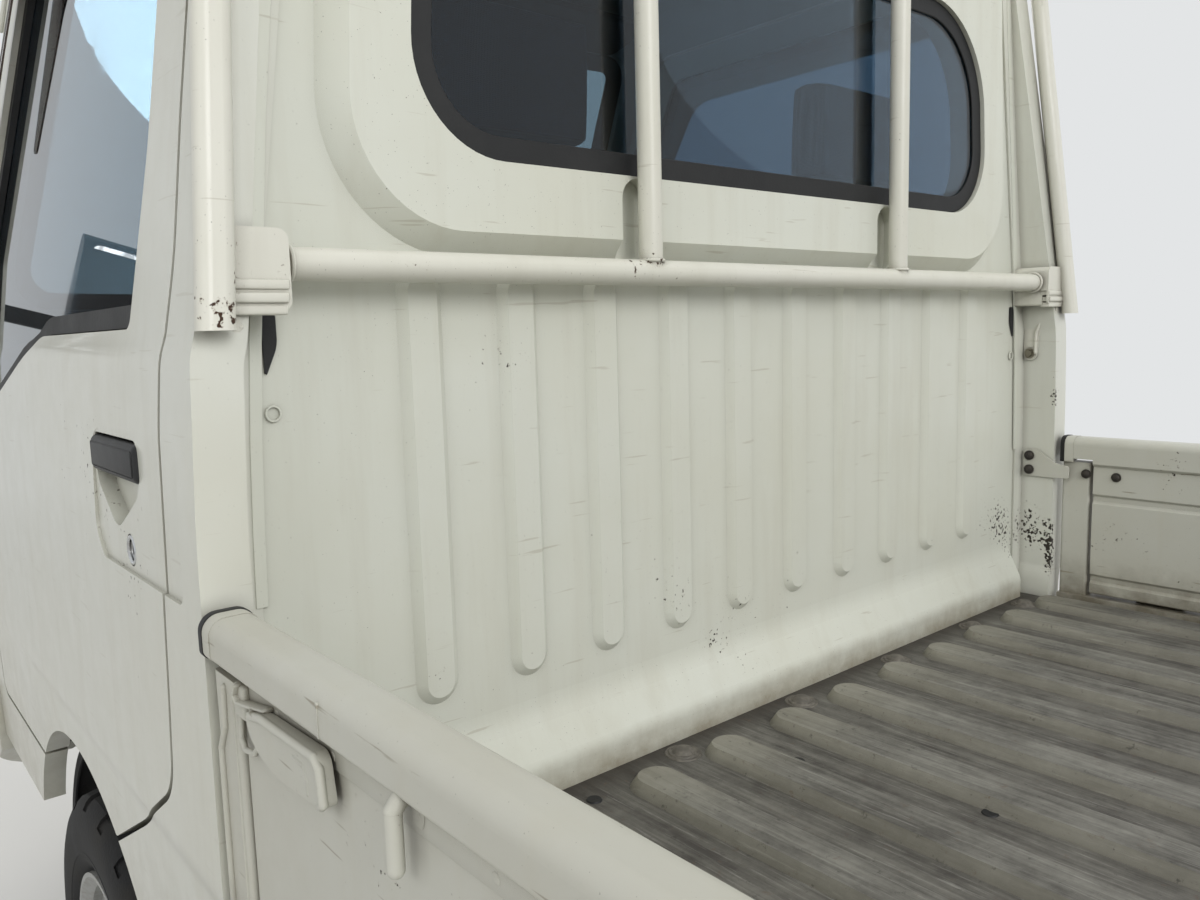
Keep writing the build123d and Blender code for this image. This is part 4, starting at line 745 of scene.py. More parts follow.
latch = {"faceY": 0.7195, "leverY": 0.7235, "leverThick": 0.0080, "lipThick": 0.0048,
         "outline": ((0.121, 0.868, 0.008), (0.117, 0.8765, 0.006), (0.092, 0.881, 0.01), (0.002, 0.8845, 0.008),
                     (-0.004, 0.852, 0.006), (0.014, 0.8505, 0.01), (0.067, 0.8455, 0.02), (0.106, 0.853, 0.012)),
         "rearEnd": -1.512}


def drawLatch(bm):
    s = latch
    face = s["leverY"] + s["leverThick"]
    addPlate(bm, s["outline"], -s["leverThick"], onSide(s["leverY"]))
    addRod(bm, (0.045, s["faceY"] - 0.0005, 0.866), (0.045, s["leverY"] + 0.001, 0.866), 0.011, 20)  # Pivot post
    # Lip rolled round the lever's top and rear end
    addPath(bm, [(0.112, face - 0.001, 0.8745), (0.092, face - 0.0005, 0.8785), (0.008, face, 0.8815),
                 (0.0015, face, 0.876), (-0.0015, face, 0.8555), (0.004, face - 0.001, 0.852)], s["lipThick"] / 1.6)
    # Catch that the hook holds
    addBlock(bm, (0.139, s["faceY"] - 0.0005, 0.8595), (0.1595, 0.7255, 0.8845), 0.0025, 3)
    # Pressed frame of the finger recess
    addPath(bm, [(0.040, face - 0.0012, 0.8705), (0.026, face - 0.0012, 0.8695), (0.0205, face - 0.0012, 0.862),
                 (0.0215, face - 0.0012, 0.8535)], 0.0019)


def drawLatchWire(bm):
    # Hook strip over the catch and the bent wire below it
    others = set(bm.verts)
    addPath(bm, [(0.149, 0.7245, 0.884), (0.153, 0.7245, 0.8765), (0.148, 0.7245, 0.8725), (0.134, 0.7245, 0.8745),
                 (0.096, 0.7245, 0.8815)], 0.0021)
    made = [vert for vert in bm.verts if vert not in others]
    bmesh.ops.scale(bm, vec=(1.0, 2.2, 1.0), verts=made, space=Matrix.Translation((0, -0.7245, 0)))
    addPath(bm, [(0.149, 0.7225, 0.872), (0.1545, 0.7225, 0.858), (0.1535, 0.7235, 0.843), (0.146, 0.724, 0.8375),
                 (0.128, 0.724, 0.8405), (0.118, 0.7225, 0.853)], 0.0022)
    addPath(bm, [(0.137, 0.721, 0.8725), (0.1355, 0.721, 0.860), (0.121, 0.721, 0.8585)], 0.0022)


def atRearEnd(draw):
    # The same latch at the gate's rear end
    def drawRear(bm):
        draw(bm)
        bmesh.ops.scale(bm, vec=(-1.0, 1.0, 1.0), verts=bm.verts)
        bmesh.ops.translate(bm, verts=bm.verts, vec=(latch["rearEnd"], 0.0, 0.0))
    return drawRear


makeBoth("gateLatchLever", drawLatch, bedPaint, "gate_{side}", bevel=0.0006)
makeBoth("gateLatchWire", drawLatchWire, bedPaint, "gate_{side}")
makeBoth("gateRearLatchLever", atRearEnd(drawLatch), bedPaint, "gate_{side}", bevel=0.0006)
makeBoth("gateRearLatchWire", atRearEnd(drawLatchWire), bedPaint, "gate_{side}")

# Hem below the rail, with its spot welds
hem = {"x": (-1.640, 0.150), "y": 0.7212, "z": (0.8719, 0.8890), "weldPitch": 0.085}


def drawHem(bm):
    s = hem
    addBlock(bm, (s["x"][0], s["y"] - 0.0030, s["z"][0]), (s["x"][1], s["y"], s["z"][1]), 0.0006)
    for step in range(int((s["x"][1] - s["x"][0]) / s["weldPitch"])):
        addDome(bm, (s["x"][0] + 0.03 + step * s["weldPitch"], s["y"] - 0.0001, 0.8795), (0, 1, 0), 0.0034, 0.0007,
                14)


makeBoth("gateHem", drawHem, bedPaint, "gate_{side}")

ropeHook = {"places": (-0.0885, -0.47, -0.85, -1.23), "rod": 0.005, "z": 0.8905, "outY": 0.7318, "lowZ": 0.8545}


def drawRopeHooks(bm):
    s = ropeHook
    for x in s["places"]:
        addPath(bm, [(x + 0.004, 0.7185, s["z"] - 0.001), (x, s["outY"] - 0.004, s["z"]),
                     (x, s["outY"], s["z"] - 0.005), (x, s["outY"], s["lowZ"])], s["rod"], 18)
        addPlate(bm, ((x - 0.012, 0.876, 0.003), (x + 0.012, 0.876, 0.003), (x + 0.014, 0.8865, 0.002),
                      (x - 0.014, 0.8865, 0.002)), -0.0022, onSide(0.7193))


makeBoth("gateRopeHooks", drawRopeHooks, bedPaint, "gate_{side}")

hingeStrap = {"places": (0.055, -0.748, -1.501), "halfWidth": 0.021, "topZ": 0.699}


def drawHingeStraps(bm):
    s = hingeStrap
    for x in s["places"]:
        addPlate(bm, ((x - s["halfWidth"], 0.664, 0.002), (x + s["halfWidth"], 0.664, 0.002),
                      (x + s["halfWidth"] - 0.005, s["topZ"], 0.007), (x - s["halfWidth"] + 0.005, s["topZ"], 0.007)),
                 -0.0024, onSide(0.7303))
        for shift in (-0.009, 0.009):
            addDome(bm, (x + shift, 0.7327, 0.684), (0, 1, 0), 0.005, 0.0028)


makeBoth("gateHingeStraps", drawHingeStraps, bedPaint, "gate_{side}")

# Column and gate corner inside the bed: guide plate, dark bolts, rivets
corner = {"boltX": 0.257, "boltZ": (0.888, 0.8635), "boltRadius": 0.0082, "wallY": 0.686,
          "rivets": ((0.167, 0.862), (0.119, 0.8605)), "gateY": 0.697}


def drawGuidePlate(bm):
    addPlate(bm, ((0.268, 0.899, 0.006), (0.243, 0.899, 0.004), (0.214, 0.8785, 0.004), (0.190, 0.873, 0.003),
                  (0.190, 0.853, 0.003), (0.218, 0.852, 0.003), (0.268, 0.852, 0.006)), -0.003,
             onSide(corner["wallY"] - 0.0028))


def drawCornerBolts(bm):
    s = corner
    for z in s["boltZ"]:
        addRod(bm, (s["boltX"], s["wallY"] - 0.0020, z), (s["boltX"], s["wallY"] - 0.0055, z), s["boltRadius"], 24)
        addDome(bm, (s["boltX"], s["wallY"] - 0.0050, z), (0, -1, 0), s["boltRadius"] * 0.8, 0.0035)
        addRod(bm, (s["boltX"], s["wallY"] - 0.0075, z), (s["boltX"], s["wallY"] - 0.0092, z), 0.0032, 6)


def drawGateRivets(bm):
    s = corner
    for x, z in s["rivets"]:
        addRod(bm, (x, s["gateY"] + 0.0005, z), (x, s["gateY"] - 0.0020, z), 0.0078, 24, 0.0074)
        addDome(bm, (x, s["gateY"] - 0.0015, z), (0, -1, 0), 0.0058, 0.0030)


makeBoth("columnGuidePlate", drawGuidePlate, bedPaint, bevel=0.0004)
makeBoth("columnBolts", drawCornerBolts, castIron)
makeBoth("gateRivets", drawGateRivets, castIron, "gate_{side}")

# Stakes' outer beads, with the jog where the strip widens
stake = {"y": 0.7232, "radius": 0.0032}


def drawStakeBead(bm):
    s = stake
    addPath(bm, [(0.185, s["y"], 0.872), (0.187, s["y"], 0.842), (0.199, s["y"], 0.822), (0.2005, s["y"], 0.662)],
            s["radius"], 14)
    addPath(bm, [(0.169, s["y"] - 0.0012, 0.872), (0.169, s["y"] - 0.0012, 0.662)], 0.0022, 12)


makeBoth("stakeBead", drawStakeBead, bedPaint)

# Bed floor: domed bolts on stepped washers in the front gutter, drain plugs further back
floorBolt = {"x": 0.2235, "z": 0.6428, "places": (0.646, 0.43, 0.213, -0.003, -0.22, -0.437, -0.609),
             "drains": ((0.211, 0.356), (0.122, 0.135), (-0.077, 0.090), (-0.62, -0.30), (-1.25, 0.22))}


def drawFloorBolts(bm):
    s = floorBolt
    for y in s["places"]:
        profile = [(0.0, 0.0), (0.0, 0.0215), (0.0016, 0.0205), (0.0012, 0.0175), (0.0032, 0.0160), (0.0030, 0.0130),
                   (0.0052, 0.0112), (0.0072, 0.0085), (0.0082, 0.0045), (0.0084, 0.0)]
        addSpun(bm, profile, (s["x"], y, s["z"]), (0, 0, 1), 36)


def drawFloorDrains(bm):
    s = floorBolt
    for x, y in s["drains"]:
        profile = [(0.0, 0.0), (0.0, 0.0085), (0.0014, 0.0075), (0.0012, 0.005), (0.0006, 0.0)]
        addSpun(bm, profile, (x, y, s["z"] + (0.0002 if x > 0.2 else 0.0)), (0, 0, 1), 24)


makeOne("bedFloorBolts", drawFloorBolts, dirtySteel)
makeOne("bedFloorDrains", drawFloorDrains, blackRubberAndShade)

# Guard frame: weld beads
guard = {"pipeX": 0.237, "pipeZ": 1.183, "uprightY": 0.2345, "topX": 0.273, "topZ": 1.880}


def drawWeldBeads(bm):
    s = guard
    for y in (-s["uprightY"], s["uprightY"]):
        addRing(bm, (s["pipeX"], y, s["pipeZ"] + 0.0125), (0, 0, 1), 0.0132, 0.0021, 28, 8)
        addRing(bm, (s["topX"] - 0.0025, y, s["topZ"] - 0.0125), (0.19, 0, 0.98), 0.0130, 0.0019, 28, 8)
    for sign in (-1, 1):
        addRing(bm, (s["pipeX"], sign * 0.6335, s["pipeZ"]), (0, 1, 0), 0.0148, 0.0021, 28, 8)


makeOne("guardWeldBeads", drawWeldBeads, pipePaint)


# Guard frame's brackets: three bands below the rounded head, with a black plate beside them as painted shade of a
# slot
bracket = {"faceX": 0.2160, "bands": ((1.1462, 0.0030, 0.6435), (1.1552, 0.0052, 0.6430), (1.1652, 0.0038, 0.6415)),
           "outerY": 0.692}


def drawBracketBands(bm):
    # Three pressed steps below the head, and the weld that joins the bracket to its post
    s = bracket
    for z, proud, innerY in s["bands"]:
        addBlock(bm, (s["faceX"] - proud, innerY, z - 0.0040), (s["faceX"] + 0.012, s["outerY"], z + 0.0040),
                 0.0018, 3)
    addPath(bm, [(s["faceX"] - 0.0012, 0.6895, 1.147), (s["faceX"] - 0.0020, 0.6885, 1.165),
                 (s["faceX"] - 0.0014, 0.6880, 1.186), (s["faceX"] - 0.0010, 0.6865, 1.206)], 0.0026, 10)


def drawBracketSlotShade(bm):
    # Slot under the head with its torn lip, drawn as black plates: painted shade
    s = bracket
    addPlate(bm, oblong((0.6595, 1.1697), (0.6675, 1.1727), 0.0012), -0.0007, onBack(s["faceX"] - 0.0004))
    addPath(bm, [(s["faceX"] - 0.0004, 0.6430, 1.1703), (s["faceX"] - 0.0004, 0.6595, 1.1706)], 0.0006, 8)


# Gusset from the pipe's bracket down the column to its bolt
gusset = {"y": 0.6858, "thick": 0.0060, "boltX": 0.259, "boltZ": 1.065,
          "outline": ((0.218, 1.178, 0.003), (0.268, 1.178, 0.003), (0.2715, 1.062, 0.010), (0.259, 1.0495, 0.010),
                      (0.2465, 1.062, 0.008), (0.2460, 1.095, 0.02), (0.2370, 1.122, 0.014), (0.218, 1.128, 0.004))}


def drawGusset(bm):
    s = gusset
    addPlate(bm, s["outline"], s["thick"], onSide(s["y"]))
    addPath(bm, [(0.2205, s["y"] - s["thick"], 1.1335), (0.2395, s["y"] - s["thick"], 1.128),
                 (0.250, s["y"] - s["thick"], 1.099), (0.2505, s["y"] - s["thick"], 1.066)], 0.0030, 10)
    addRing(bm, (s["boltX"], s["y"] - s["thick"], s["boltZ"]), (0, 1, 0), 0.0112, 0.0012, 28, 8)


def drawGussetBolt(bm):
    s = gusset
    addBolt(bm, (s["boltX"] + 0.001, s["y"] - s["thick"], s["boltZ"]), (0, -1, 0), 0.0062, 1.35)


flange = {"x": 0.2738, "proud": 0.0030, "halfWide": 0.0052,
          "line": ((0.6600, 0.900), (0.6585, 0.960), (0.6555, 1.034), (0.6500, 1.119), (0.6330, 1.305),
                   (0.6225, 1.393), (0.5880, 1.700)),
          "opening": ((0.6435, 1.144, 0.002), (0.6310, 1.144, 0.002), (0.6310, 1.118, 0.006),
                      (0.6420, 1.093, 0.003))}


def drawFlange(bm):
    s = flange
    left = [(y + s["halfWide"], z, 0.0) for y, z in s["line"]]
    right = [(y - s["halfWide"], z, 0.0) for y, z in reversed(s["line"])]
    addPlate(bm, left + right, -s["proud"], onBack(s["x"]))
    # Pressed ring beside it, seen as a small C
    addRing(bm, (s["x"] - 0.0008, 0.6385, 1.062), (1, 0, 0), 0.0062, 0.0011, 24, 8)


# Black patch and dark edge beside the flange: painted shade, a black sheet standing for the dark gap behind the
# gusset
def drawFlangeShadePatch(bm):
    s = flange
    addPlate(bm, s["opening"], -0.0006, onBack(s["x"]))
    addPath(bm, [(s["x"] - 0.0006, 0.6435, 1.144), (s["x"] - 0.0006, 0.6428, 1.096)], 0.0007, 8)


makeBoth("columnFlange", drawFlange, backPaint, bevel=0.0013)
makeBoth("flangeShadePatch", drawFlangeShadePatch, blackRubberAndShade)
makeBoth("bracketBands", drawBracketBands, pipePaint)
makeBoth("bracketSlotShade", drawBracketSlotShade, blackRubberAndShade)
makeBoth("columnGusset", drawGusset, pipePaint, bevel=0.0006)
makeBoth("gussetBolt", drawGussetBolt, zincPlate, slot="pipe_paint")

# Rear window: rubber gasket with an outer lip
gasket = {"width": 0.024, "lift": -0.0005, "thick": 0.0035}
finishPiece("rearWindowGasket", edgeRing("rear_window", (-1, 0, 0), 0.6, gasket["width"], gasket["lift"],
                                         gasket["thick"]), blackRubberAndShade, bevel=0.0012)

# Windscreen: printed border
screen = {"width": 0.035, "lift": 0.0003, "thick": 0.0012}
finishPiece("windscreenBorder", edgeRing("windscreen", (0.84, 0, 0.54), 0.75, screen["width"], screen["lift"],
                                         screen["thick"]), blackRubberAndShade)

# Doors: window sash, rain visor, grip and lock
door = {"sash": 0.021, "sashLift": 0.0006, "sashThick": 0.009, "gripX": (0.369, 0.526), "gripZ": (1.0012, 1.0372),
        "gripY": (0.7085, 0.7262), "lockX": 0.418, "lockZ": 0.937, "lockY": 0.7172}
for side, sign in sides.items():
    ring = edgeRing(f"door_glass_{side}", (0, sign, 0.14), 0.6, door["sash"], door["sashLift"], door["sashThick"])
    finishPiece(f"doorSash{side.title()}", ring, blackRubberAndShade, f"door_{side}", bevel=0.0015)


def skinY(z):
    # Half width of the cab above the belt
    return truck["beltY"] - truck["sideLean"] * (z - truck["beltZ"])


visor = {"outline": ((0.3715, 1.560, 0.012), (0.3735, 1.673, 0.03), (1.047, 1.673, 0.03), (1.204, 1.4285, 0.012),
                     (1.180, 1.4215, 0.012), (1.020, 1.622, 0.04), (0.425, 1.622, 0.03), (0.405, 1.56, 0.01)),
         "thick": 0.0026, "lift": 0.0015, "topZ": 1.673, "flare": 0.010, "flareHigh": 0.05}


def drawVisor(bm):
    # Follows the door's lean and flares out below its top edge
    s = visor
    base = planeAt((0, skinY(0.0) + s["lift"], 0), (1, 0, 0), (0, -truck["sideLean"], 1))
    addPlate(bm, [(x, z * math.hypot(1, truck["sideLean"]), r) for x, z, r in s["outline"]], -s["thick"], base)
    for vert in bm.verts:
        vert.co.y += s["flare"] * min(1.0, max(0.0, (s["topZ"] - vert.co.z) / s["flareHigh"]))


def drawGrip(bm):
    s = door
    addBlock(bm, (s["gripX"][0], s["gripY"][0], s["gripZ"][0]), (s["gripX"][1], s["gripY"][1], s["gripZ"][1]),
             0.0075, 4)
    addBlock(bm, (s["gripX"][0] + 0.006, s["gripY"][1] - 0.0022, s["gripZ"][0] + 0.006),
             (s["gripX"][1] - 0.006, s["gripY"][1] + 0.0006, s["gripZ"][1] - 0.006), 0.0026, 3)


def drawLockRing(bm):
    s = door
    addRing(bm, (s["lockX"], s["lockY"] + 0.0035, s["lockZ"]), (0, 1, 0), 0.0122, 0.0022, 36, 10)
    addRod(bm, (s["lockX"], s["lockY"] - 0.0002, s["lockZ"]), (s["lockX"], s["lockY"] + 0.0030, s["lockZ"]), 0.0095,
           28, 0.0088)


def drawLockSlot(bm):
    s = door
    # Key slot as a thin black block: painted shade of the keyway
    addBlock(bm, (s["lockX"] - 0.0008, s["lockY"] + 0.0028, s["lockZ"] - 0.0045),
             (s["lockX"] + 0.0008, s["lockY"] + 0.0034, s["lockZ"] + 0.0045), 0.0002)
    # Rubber under the ring
    addRing(bm, (s["lockX"], s["lockY"] + 0.0026, s["lockZ"]), (0, 1, 0), 0.0152, 0.0016, 36, 8)


makeBoth("doorRainVisor", drawVisor, smokedAcrylic, "door_{side}")
makeBoth("doorGrip", drawGrip, blackPlastic, "door_{side}")
makeBoth("doorLockRing", drawLockRing, chrome, "door_{side}")
makeBoth("doorLockSlot", drawLockSlot, blackRubberAndShade, "door_{side}")
print("bed and door trim made")

# Mirrors: glass and its frame on the housing's rear face; corners are y and height above z
mirror = {"glassX": 1.2916, "rimX": 1.2914, "z": 1.17, "lean": 0.0555, "glass": ((0.808, 0.018), (0.902, 0.164)),
          "rim": ((0.802, 0.011), (0.908, 0.171)), "glassThick": 0.0012, "rimThick": 0.0009}


def onMirror(x):
    return planeAt((x, 0, mirror["z"]), (0, 1, 0), (mirror["lean"], 0, 1))


def drawMirrorGlass(bm):
    addPlate(bm, oblong(*mirror["glass"], 0.014, 0.016), -mirror["glassThick"], onMirror(mirror["glassX"]))


def drawMirrorRim(bm):
    addPlate(bm, oblong(*mirror["rim"], 0.018, 0.02), -mirror["rimThick"], onMirror(mirror["rimX"]))


makeBoth("mirrorRim", drawMirrorRim, blackRubberAndShade, "door_{side}")
makeBoth("mirrorGlass", drawMirrorGlass, chrome, "door_{side}")

# Headlamps: clear cover, bright bowl, bulb, turn lamp
lamp = {"bowlY": 0.541, "bowlZ": 0.836, "bowlRadius": 0.053, "turnY": 0.645, "turnZ": 0.842, "turnRadius": 0.026}
cover = copySkin("headlamps", (1, 0, 0), 0.35)
thicken(cover, (-0.0025, 0, 0))
lampCover = finishPiece("headlampCover", cover, clearGlass)
finishPiece("headlampBody", copySkin("headlamps", (-1, 0, 0), -0.35), greyPlastic, slot="lamp_lens")
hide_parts("headlamps")


def drawBowl(bm):
    s = lamp
    for y, z, radius in ((s["bowlY"], s["bowlZ"], s["bowlRadius"]), (s["turnY"], s["turnZ"], s["turnRadius"])):
        base = noseX(y, z) - 0.029
        profile = [(0.0012 + 0.019 * (step / 8) ** 2, radius * step / 8) for step in range(9)]
        profile += [(0.0212, radius + 0.003), (0.0202, radius + 0.003), (0.0, radius * 0.5), (0.0, 0.0)]
        addSpun(bm, profile, (base, y, z), (1, 0, 0), 40)


def drawBulb(bm):
    s = lamp
    base = noseX(s["bowlY"], s["bowlZ"]) - 0.027
    addRod(bm, (base, s["bowlY"], s["bowlZ"]), (base + 0.012, s["bowlY"], s["bowlZ"]), 0.0055, 20, 0.005)
    addDome(bm, (base + 0.012, s["bowlY"], s["bowlZ"]), (1, 0, 0), 0.005, 0.005)


def drawTurnBulb(bm):
    s = lamp
    base = noseX(s["turnY"], s["turnZ"]) - 0.026
    addRod(bm, (base - 0.002, s["turnY"], s["turnZ"]), (base + 0.003, s["turnY"], s["turnZ"]), 0.009, 20, 0.008)
    addDome(bm, (base + 0.002, s["turnY"], s["turnZ"]), (1, 0, 0), 0.0075, 0.012)


makeBoth("headlampBowls", drawBowl, chrome, slot="lamp_lens")
makeBoth("headlampBulb", drawBulb, whiteLens)
makeBoth("turnBulb", drawTurnBulb, amberLens)

# Nose: grille slot with bars, cowl, wipers, blank front plate
nose = {"grille": ((-0.375, 0.735), (0.375, 0.792)), "bars": (0.7475, 0.7635, 0.7795), "barHalf": 0.0028,
        "cowl": ((-0.585, 1.150), (0.585, 1.186)), "cowlSlots": 15, "slotPitch": 0.06, "slotHalf": 0.021}
# Blank plates, front and rear: the plate, its raised field and its bolts
frontPlate = {"plate": ((-0.165, 0.538), (0.165, 0.703)), "field": ((-0.155, 0.5475), (0.155, 0.6935)),
              "boltZ": 0.683}
rearPlate = {"plate": ((-0.165, 0.380), (0.165, 0.545)), "field": ((-0.155, 0.389), (0.155, 0.536)), "x": -1.6858,
             "boltZ": 0.527}
plateBoltY = (-0.105, 0.105)


def drawGrille(bm):
    addPlate(bm, oblong(*nose["grille"], 0.012, 0.02), 0.0015, onBack(-0.0010))
    bendToNose(bm)


def drawGrilleBars(bm):
    (lowY, lowZ), (highY, highZ) = nose["grille"]
    half = nose["barHalf"]
    for z in nose["bars"]:
        addBlock(bm, (-0.001, lowY + 0.008, z - half), (0.0032, highY - 0.008, z + half), 0.0012)
    for y in (lowY + 0.006, highY - 0.006):
        addBlock(bm, (-0.001, y - 0.003, lowZ + 0.006), (0.0034, y + 0.003, highZ - 0.006), 0.0012)
    bendToNose(bm)


def drawFrontPlate(bm):
    s = frontPlate
    place = onBack(noseX(0, s["plate"][0][1]) + 0.0012)
    addPlate(bm, oblong(*s["plate"], 0.008), 0.0012, place)
    addPlate(bm, oblong(*s["field"], 0.006), 0.0017, place)


def drawPlateBolts(bm):
    x = noseX(0, frontPlate["plate"][0][1]) + 0.0022
    for y in plateBoltY:
        addDome(bm, (x, y, frontPlate["boltZ"]), (1, 0, 0), 0.0062, 0.003)


def drawCowl(bm):
    s = nose
    addPlate(bm, oblong(*s["cowl"], 0.01), 0.002, onBack(-0.0008))
    for slot in range(s["cowlSlots"]):
        y = (slot - (s["cowlSlots"] - 1) / 2) * s["slotPitch"]
        for lowZ in (s["cowl"][0][1] + 0.010, s["cowl"][0][1] + 0.020):
            addBlock(bm, (0.0, y - s["slotHalf"], lowZ), (0.0036, y + s["slotHalf"], lowZ + 0.006), 0.001)
    bendToNose(bm)


def glassPoint(y, z, above):
    # Point above the windscreen's outer face
    return Vector((noseX(y, z) - 0.0143, y, z)) + Vector((0.839, 0, 0.544)) * above


def drawWipers(bm):
    for pivotY, tipY in ((-0.18, -0.46), (0.38, 0.10)):
        pivot = Vector((noseX(pivotY, 1.172) + 0.004, pivotY, 1.172))
        elbow = glassPoint(pivotY + (tipY - pivotY) * 0.16, 1.222, 0.017)
        hold = glassPoint(pivotY + (tipY - pivotY) * 0.62, 1.372, 0.014)
        addRod(bm, pivot - Vector((0.006, 0, 0.004)), pivot + Vector((0.008, 0, 0.005)), 0.011, 20, 0.009)
        addPath(bm, [pivot + Vector((0.006, 0, 0.004)), elbow, hold], 0.0042, 10)
        low = glassPoint(pivotY + (tipY - pivotY) * 0.18, 1.231, 0.0055)
        high = glassPoint(tipY, 1.512, 0.0055)
        addPath(bm, [low, (low + high) / 2 + Vector((0.0042, 0, 0.0027)), high], 0.0032, 8)
        addPath(bm, [glassPoint(pivotY + (tipY - pivotY) * 0.16, 1.226, 0.0022), glassPoint(tipY, 1.518, 0.0022)],
                0.0016, 6)


makeOne("grillePanel", drawGrille, blackPlastic)
makeOne("grilleBars", drawGrilleBars, blackPlastic)
makeOne("frontPlate", drawFrontPlate, rimPaint, bevel=0.0004)
makeOne("frontPlateBolts", drawPlateBolts, zincPlate)
makeOne("cowlGrille", drawCowl, blackPlastic)
makeOne("wipers", drawWipers, blackPlastic)

# Bumper: lower intake with its bars
bumper = {"intake": ((-0.33, 0.366), (0.33, 0.426)), "bars": (0.381, 0.396, 0.411), "faceX": 1.6952}


def drawIntake(bm):
    (lowY, lowZ), (highY, highZ) = bumper["intake"]
    addPlate(bm, oblong(*bumper["intake"], 0.014), 0.0010, onBack(0.0005))
    for z in bumper["bars"]:
        addBlock(bm, (0.0005, lowY + 0.014, z - 0.0022), (0.0021, highY - 0.014, z + 0.0022), 0.0007)
    bendToNose(bm)
    for vert in bm.verts:
        vert.co.x += bumper["faceX"] - noseX(0, vert.co.z)


makeOne("bumperIntake", drawIntake, blackPlastic)

# Tail lamps: dark housing with amber, red and clear sections; rear plate
tail = {"x": -1.6845, "deep": 0.0085, "z": (0.4815, 0.5675), "inner": 0.4255,
        "sections": (("tailClear", whiteLens, 0.0, 0.042), ("tailRed", redLens, 0.044, 0.148),
                     ("tailAmber", amberLens, 0.150, 0.209))}
dress(blackPlastic, "tail_lamps")
for name, lens, low, high in tail["sections"]:
    def drawSection(bm):
        # Lens with a raised rim and three moulded flutes
        s = tail
        addBlock(bm, (s["x"] - s["deep"], s["inner"] + low, s["z"][0]),
                 (s["x"] + 0.001, s["inner"] + high, s["z"][1]), 0.0035, 3)
        for step in range(1, 4):
            z = s["z"][0] + (s["z"][1] - s["z"][0]) * step / 4
            addBlock(bm, (s["x"] - s["deep"] - 0.0008, s["inner"] + low + 0.006, z - 0.0035),
                     (s["x"] - s["deep"] + 0.001, s["inner"] + high - 0.006, z + 0.0035), 0.0008, 2)
    makeBoth(name, drawSection, lens, slot="lamp_red")


def drawRearPlate(bm):
    addPlate(bm, oblong(*rearPlate["plate"], 0.008), -0.0012, onBack(rearPlate["x"]))
    addPlate(bm, oblong(*rearPlate["field"], 0.006), -0.0017, onBack(rearPlate["x"]))


def drawRearPlateFittings(bm):
    for y in plateBoltY:
        addDome(bm, (-1.6872, y, rearPlate["boltZ"]), (-1, 0, 0), 0.0062, 0.003)
        addBlock(bm, (-1.6860, y - 0.014, 0.448), (-1.6838, y + 0.014, 0.5405), 0.0006)
    addBlock(bm, (-1.6905, -0.035, 0.5485), (-1.6600, 0.035, 0.5685), 0.004)


makeOne("rearPlate", drawRearPlate, rimPaint, bevel=0.0004)
makeOne("rearPlateFittings", drawRearPlateFittings, zincPlate)
print("lamps, nose and plates made")

# Tyres: light-truck tread with four grooves and notched shoulders
tyre = {"steps": 80, "radius": 0.2694, "notchDepth": 0.006, "blockDepth": 0.004,
        "half": ((0.0550, 0.1526), (0.0572, 0.1600), (0.0570, 0.1675), (0.0625, 0.1740), (0.0690, 0.1850),
                 (0.0700, 0.1905), (0.0708, 0.1912), (0.0712, 0.1945), (0.0706, 0.1955), (0.0716, 0.2100),
                 (0.0718, 0.2250), (0.0700, 0.2405), (0.0665, 0.2510), (0.0610, 0.2600), (0.0545, 0.2655),
                 (0.0400, 0.2684), (0.0335, 0.2690), (0.0325, 0.2615), (0.0265, 0.2615), (0.0255, 0.2692),
                 (0.0130, 0.2694), (0.0122, 0.2619), (0.0068, 0.2619), (0.0060, 0.2694))}


def drawTyre(bm, wheelX, sign):
    centre = Vector((wheelX, sign * truck["wheelY"], truck["axleZ"]))
    profile = list(tyre["half"]) + [(-along, radius) for along, radius in reversed(tyre["half"])]
    profile.append(profile[0])
    addSpun(bm, profile, centre, (0, 1, 0), tyre["steps"])
    bmesh.ops.remove_doubles(bm, verts=bm.verts, dist=0.00001)
    bmesh.ops.recalc_face_normals(bm, faces=bm.faces)
    shoulders, ribs = [], []
    for face in bm.faces:
        middle = face.calc_center_median()
        across = abs(middle.y - centre.y)
        turn = math.atan2(middle.x - centre.x, middle.z - centre.z)
        step = round(turn / math.tau * tyre["steps"] - 0.5) % tyre["steps"]
        radius = math.hypot(middle.x - centre.x, middle.z - centre.z)
        if 0.040 < across < 0.068 and radius > 0.25 and (step + (2 if middle.y > centre.y else 0)) % 4 == 0:
            shoulders.append(face)
        elif 0.013 < across < 0.0255 and radius > 0.268 and step % 5 == 0:
            ribs.append(face)
    for faces, deep in ((shoulders, tyre["notchDepth"]), (ribs, tyre["blockDepth"])):
        raised = bmesh.ops.extrude_face_region(bm, geom=faces)
        for vert in [item for item in raised["geom"] if isinstance(item, bmesh.types.BMVert)]:
            outward = Vector((vert.co.x - centre.x, 0.0, vert.co.z - centre.z))
            vert.co -= outward.normalized() * deep
        bmesh.ops.delete(bm, geom=[face for face in faces if face.is_valid], context="FACES_ONLY")


# Wheels: nuts, hub cap and valve
wheelTrim = {"nutRing": 0.056, "nutCount": 4, "nutRadius": 0.0098, "capRadius": 0.0285, "faceY": 0.6845}


